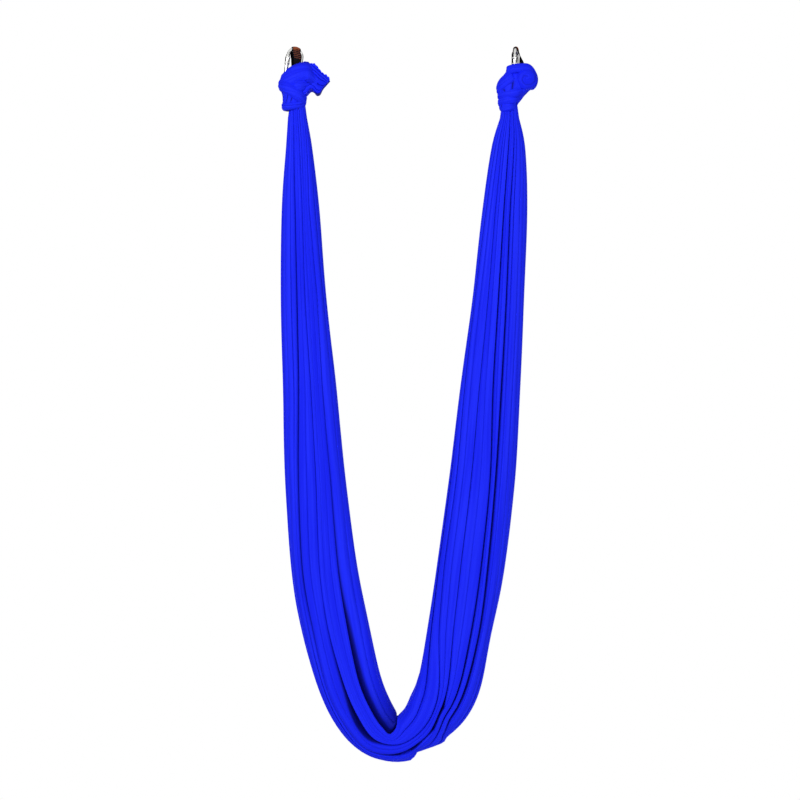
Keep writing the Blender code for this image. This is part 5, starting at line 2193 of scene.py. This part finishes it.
@dataclass(frozen=True)
class Studio:
    """Pale floor, plain soft light and the camera."""

    camera_place: tuple = (0.315, -6.0, -1.0485)
    lens: float = 90.0
    floor_level: float = -2.9
    floor_reach: float = 3.0
    ambient: float = 0.36
    key_power: float = 165.0
    fill_power: float = 78.0
    card_angles: tuple = (-14.0, 22.0, 58.0)
    card_distance: float = 2.9
    card_half_wide: float = 0.93
    card_half_high: float = 1.5

    def build(self) -> None:
        """Add the camera, the world, the lamps, the floor and the cards that the steel mirrors."""
        scene = bpy.context.scene
        scene.view_settings.view_transform = "Standard"
        camera = bpy.data.cameras.new("camera")
        camera.lens = self.lens
        camera.sensor_width = 36.0
        holder = linked("camera", camera)
        holder.location = self.camera_place
        holder.rotation_euler = (math.radians(90.0), 0.0, 0.0)
        scene.camera = holder
        self.world()
        self.lamp("key", (-2.6, -4.4, 1.2), self.key_power, 2.6)
        self.lamp("fill", (3.4, -4.2, -1.2), self.fill_power, 3.0)
        self.floor()
        for side, name in ((-1.0, "left"), (1.0, "right")):
            for index, degrees in enumerate(self.card_angles):
                self.card(f"{name}_card_{index}", side, math.radians(degrees))

    @staticmethod
    def seen(graph: Graph) -> Socket:
        """Tell rays that see or mirror the scene from those that light it.

        Args:
            graph: Graph of a material or the world.

        Returns:
            1 on rays that see it, and 0 on the others.
        """
        rays = graph.node("ShaderNodeLightPath").outputs
        looks = graph.math("MAXIMUM", rays["Is Camera Ray"], rays["Is Glossy Ray"])
        return graph.math("MAXIMUM", looks, rays["Is Transmission Ray"])

    def world(self) -> None:
        """White where it is seen or mirrored, dimmer where it lights."""
        world = bpy.data.worlds.new("studio")
        bpy.context.scene.world = world
        world.use_nodes = True
        graph = Graph(world.node_tree)
        graph.tree.nodes.clear()
        strength = graph.remap(self.seen(graph), 0.0, 1.0, self.ambient, 1.0)
        light = graph.node("ShaderNodeBackground", {"Color": (1.0, 1.0, 1.0, 1.0), "Strength": strength})
        leave = graph.node("ShaderNodeOutputWorld")
        graph.tree.links.new(light.outputs[0], leave.inputs[0])

    def lamp(self, name: str, place: tuple, power: float, size: float) -> None:
        """Add a soft square lamp that looks at the hammock.

        Args:
            name: Its name.
            place: Where it stands.
            power: In watts.
            size: Length of its side.
        """
        light = bpy.data.lights.new(name, "AREA")
        light.energy = power
        light.size = size
        holder = linked(name, light)
        holder.location = place
        aim = Vector((0.33, 0.0, -1.05)) - Vector(place)
        holder.rotation_euler = aim.to_track_quat("-Z", "Y").to_euler()
        holder.visible_camera = False

    def floor(self) -> None:
        """Add a white floor that keeps the shadow."""
        reach = self.floor_reach
        corners = [(x * reach, y * reach, self.floor_level) for x, y in ((-1, -1), (1, -1), (1, 1), (-1, 1))]
        made, graph, shader = new_finish("white_floor")
        shader.inputs["Roughness"].default_value = 0.9
        grain = graph.stretched_grain(graph.node("ShaderNodeTexCoord").outputs["Object"], (3.0, 3.0, 3.0))
        white = graph.mix(grain, (0.92, 0.92, 0.92), (0.96, 0.96, 0.96))
        graph.tree.links.new(white, shader.inputs["Base Color"])
        glow = graph.node("ShaderNodeEmission", {"Strength": 1.0})
        share = graph.math("MULTIPLY", self.seen(graph), 0.8)
        both = graph.node("ShaderNodeMixShader", {0: share, 1: shader.outputs[0], 2: glow.outputs[0]})
        graph.tree.links.new(both.outputs[0], graph.tree.nodes["Material Output"].inputs[0])
        build_object("floor", np.array(corners), [(0, 1, 2, 3)], made)

    def card(self, name: str, side: float, angle: float) -> None:
        """Stand a dark card beside the hammock that only mirrors see.

        Args:
            name: Its name.
            side: -1 at the left, 1 at the right.
            angle: How far it stands round to the back.
        """
        made, graph, shader = new_finish(name)
        grain = graph.stretched_grain(graph.node("ShaderNodeTexCoord").outputs["Object"], (1.0, 1.0, 1.0))
        dark = graph.mix(grain, (0.02, 0.02, 0.02), (0.03, 0.03, 0.03))
        graph.tree.links.new(dark, shader.inputs["Base Color"])
        away = Vector((side * math.cos(angle), math.sin(angle), 0.0))
        middle = Vector((HOOK_SPACING / 2, 0.0, -0.3)) + away * self.card_distance
        across = away.cross(Vector((0.0, 0.0, 1.0))) * self.card_half_wide
        up = Vector((0.0, 0.0, self.card_half_high))
        corners = [middle - across - up, middle + across - up, middle + across + up, middle - across + up]
        card = build_object(name, np.array(corners), [(0, 1, 2, 3)], made)
        card.visible_camera = False
        card.visible_diffuse = False
        card.visible_shadow = False
        card.visible_transmission = False


def ride(piece: Piece, body: str, slot: Slot, *nodes: str) -> Piece:
    """Fix a piece to a body and hide the nodes that it stands for.

    Args:
        piece: The piece.
        body: The body that it moves with.
        slot: Its material slot in the record; not used.
        nodes: Nodes that it replaces.

    Returns:
        The piece.
    """
    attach(piece, body)
    if nodes:
        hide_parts(*nodes)
    LOG.info("%s: %d faces", piece.name, len(piece.data.polygons))
    return piece


def dress_hardware(carabiner: Carabiner, webbing: WebbingLoop) -> None:
    """Build one carabiner with its webbing and finish the pins that are carried over.

    Args:
        carabiner: The carabiner.
        webbing: Its webbing loop.
    """
    end = carabiner.end.value
    ride(carabiner.body(), "root", Slot.STEEL, f"{end}_carabiner_body")
    gate, thread = carabiner.gate()
    ride(gate, f"{end}_gate", Slot.STEEL, f"{end}_carabiner_gate")
    ride(thread, f"{end}_gate", Slot.STEEL)
    carabiner.spring()
    shell, ribs = carabiner.sleeve()
    ride(shell, f"{end}_sleeve", Slot.STEEL, f"{end}_locking_sleeve")
    ride(ribs, f"{end}_sleeve", Slot.STEEL)
    ride(webbing.band(), "root", Slot.WEBBING, f"{end}_webbing_loop")
    ride(webbing.tack_stitches(), "root", Slot.THREAD, f"{end}_bar_tacks")
    for part in ("hinge_pin", "latch_pin", "gate_plunger"):
        node = bpy.data.objects[f"{end}_{part}"]
        for slot in node.material_slots:
            slot.link = "OBJECT"
            slot.material = carabiner.kit.pin


def main() -> None:
    """Dress the frame, piece by piece."""
    logging.basicConfig(level=logging.INFO, format="%(name)s: %(message)s")
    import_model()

    kit = Kit()
    left = Carabiner(kit, End.LEFT, 0.0, 25.0, 8.0)
    right = Carabiner(kit, End.RIGHT, HOOK_SPACING, 78.0, 0.0)
    left_webbing = WebbingLoop(left, 10.0 * MM, 0.0, 11.0 * MM, -1.0)
    right_webbing = WebbingLoop(right, 19.0 * MM, 56.0, 0.0, 1.0)
    for carabiner, webbing in ((left, left_webbing), (right, right_webbing)):
        dress_hardware(carabiner, webbing)

    knots = (
        (Knot(left, LEFT_OUTLINE, 5.0, LEFT_BANDS), left_webbing),
        (Knot(right, RIGHT_OUTLINE, -4.0, RIGHT_BANDS), right_webbing),
    )
    for knot, webbing in knots:
        carabiner = knot.carabiner
        tools = [carabiner.ring_room(), carabiner.gate_room(), webbing.room()]
        ride(knot.build(tools), "root", Slot.CLOTH, f"{carabiner.end.value}_knot")
        if carabiner.end is End.RIGHT:
            ride(RolledTail(kit).build(tools), "root", Slot.CLOTH, "right_tail")
        discard(tools)
    tail, tail_hem = FanTail(kit).build()
    ride(tail, "root", Slot.CLOTH, "left_tail")
    ride(tail_hem, "root", Slot.CLOTH)

    sling = Sling(kit)
    sheet, hem = sling.build()
    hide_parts("sling_cloth")
    for piece in (sheet, hem):
        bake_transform(piece)

    Studio().build()


if __name__ == "__main__":
    main()
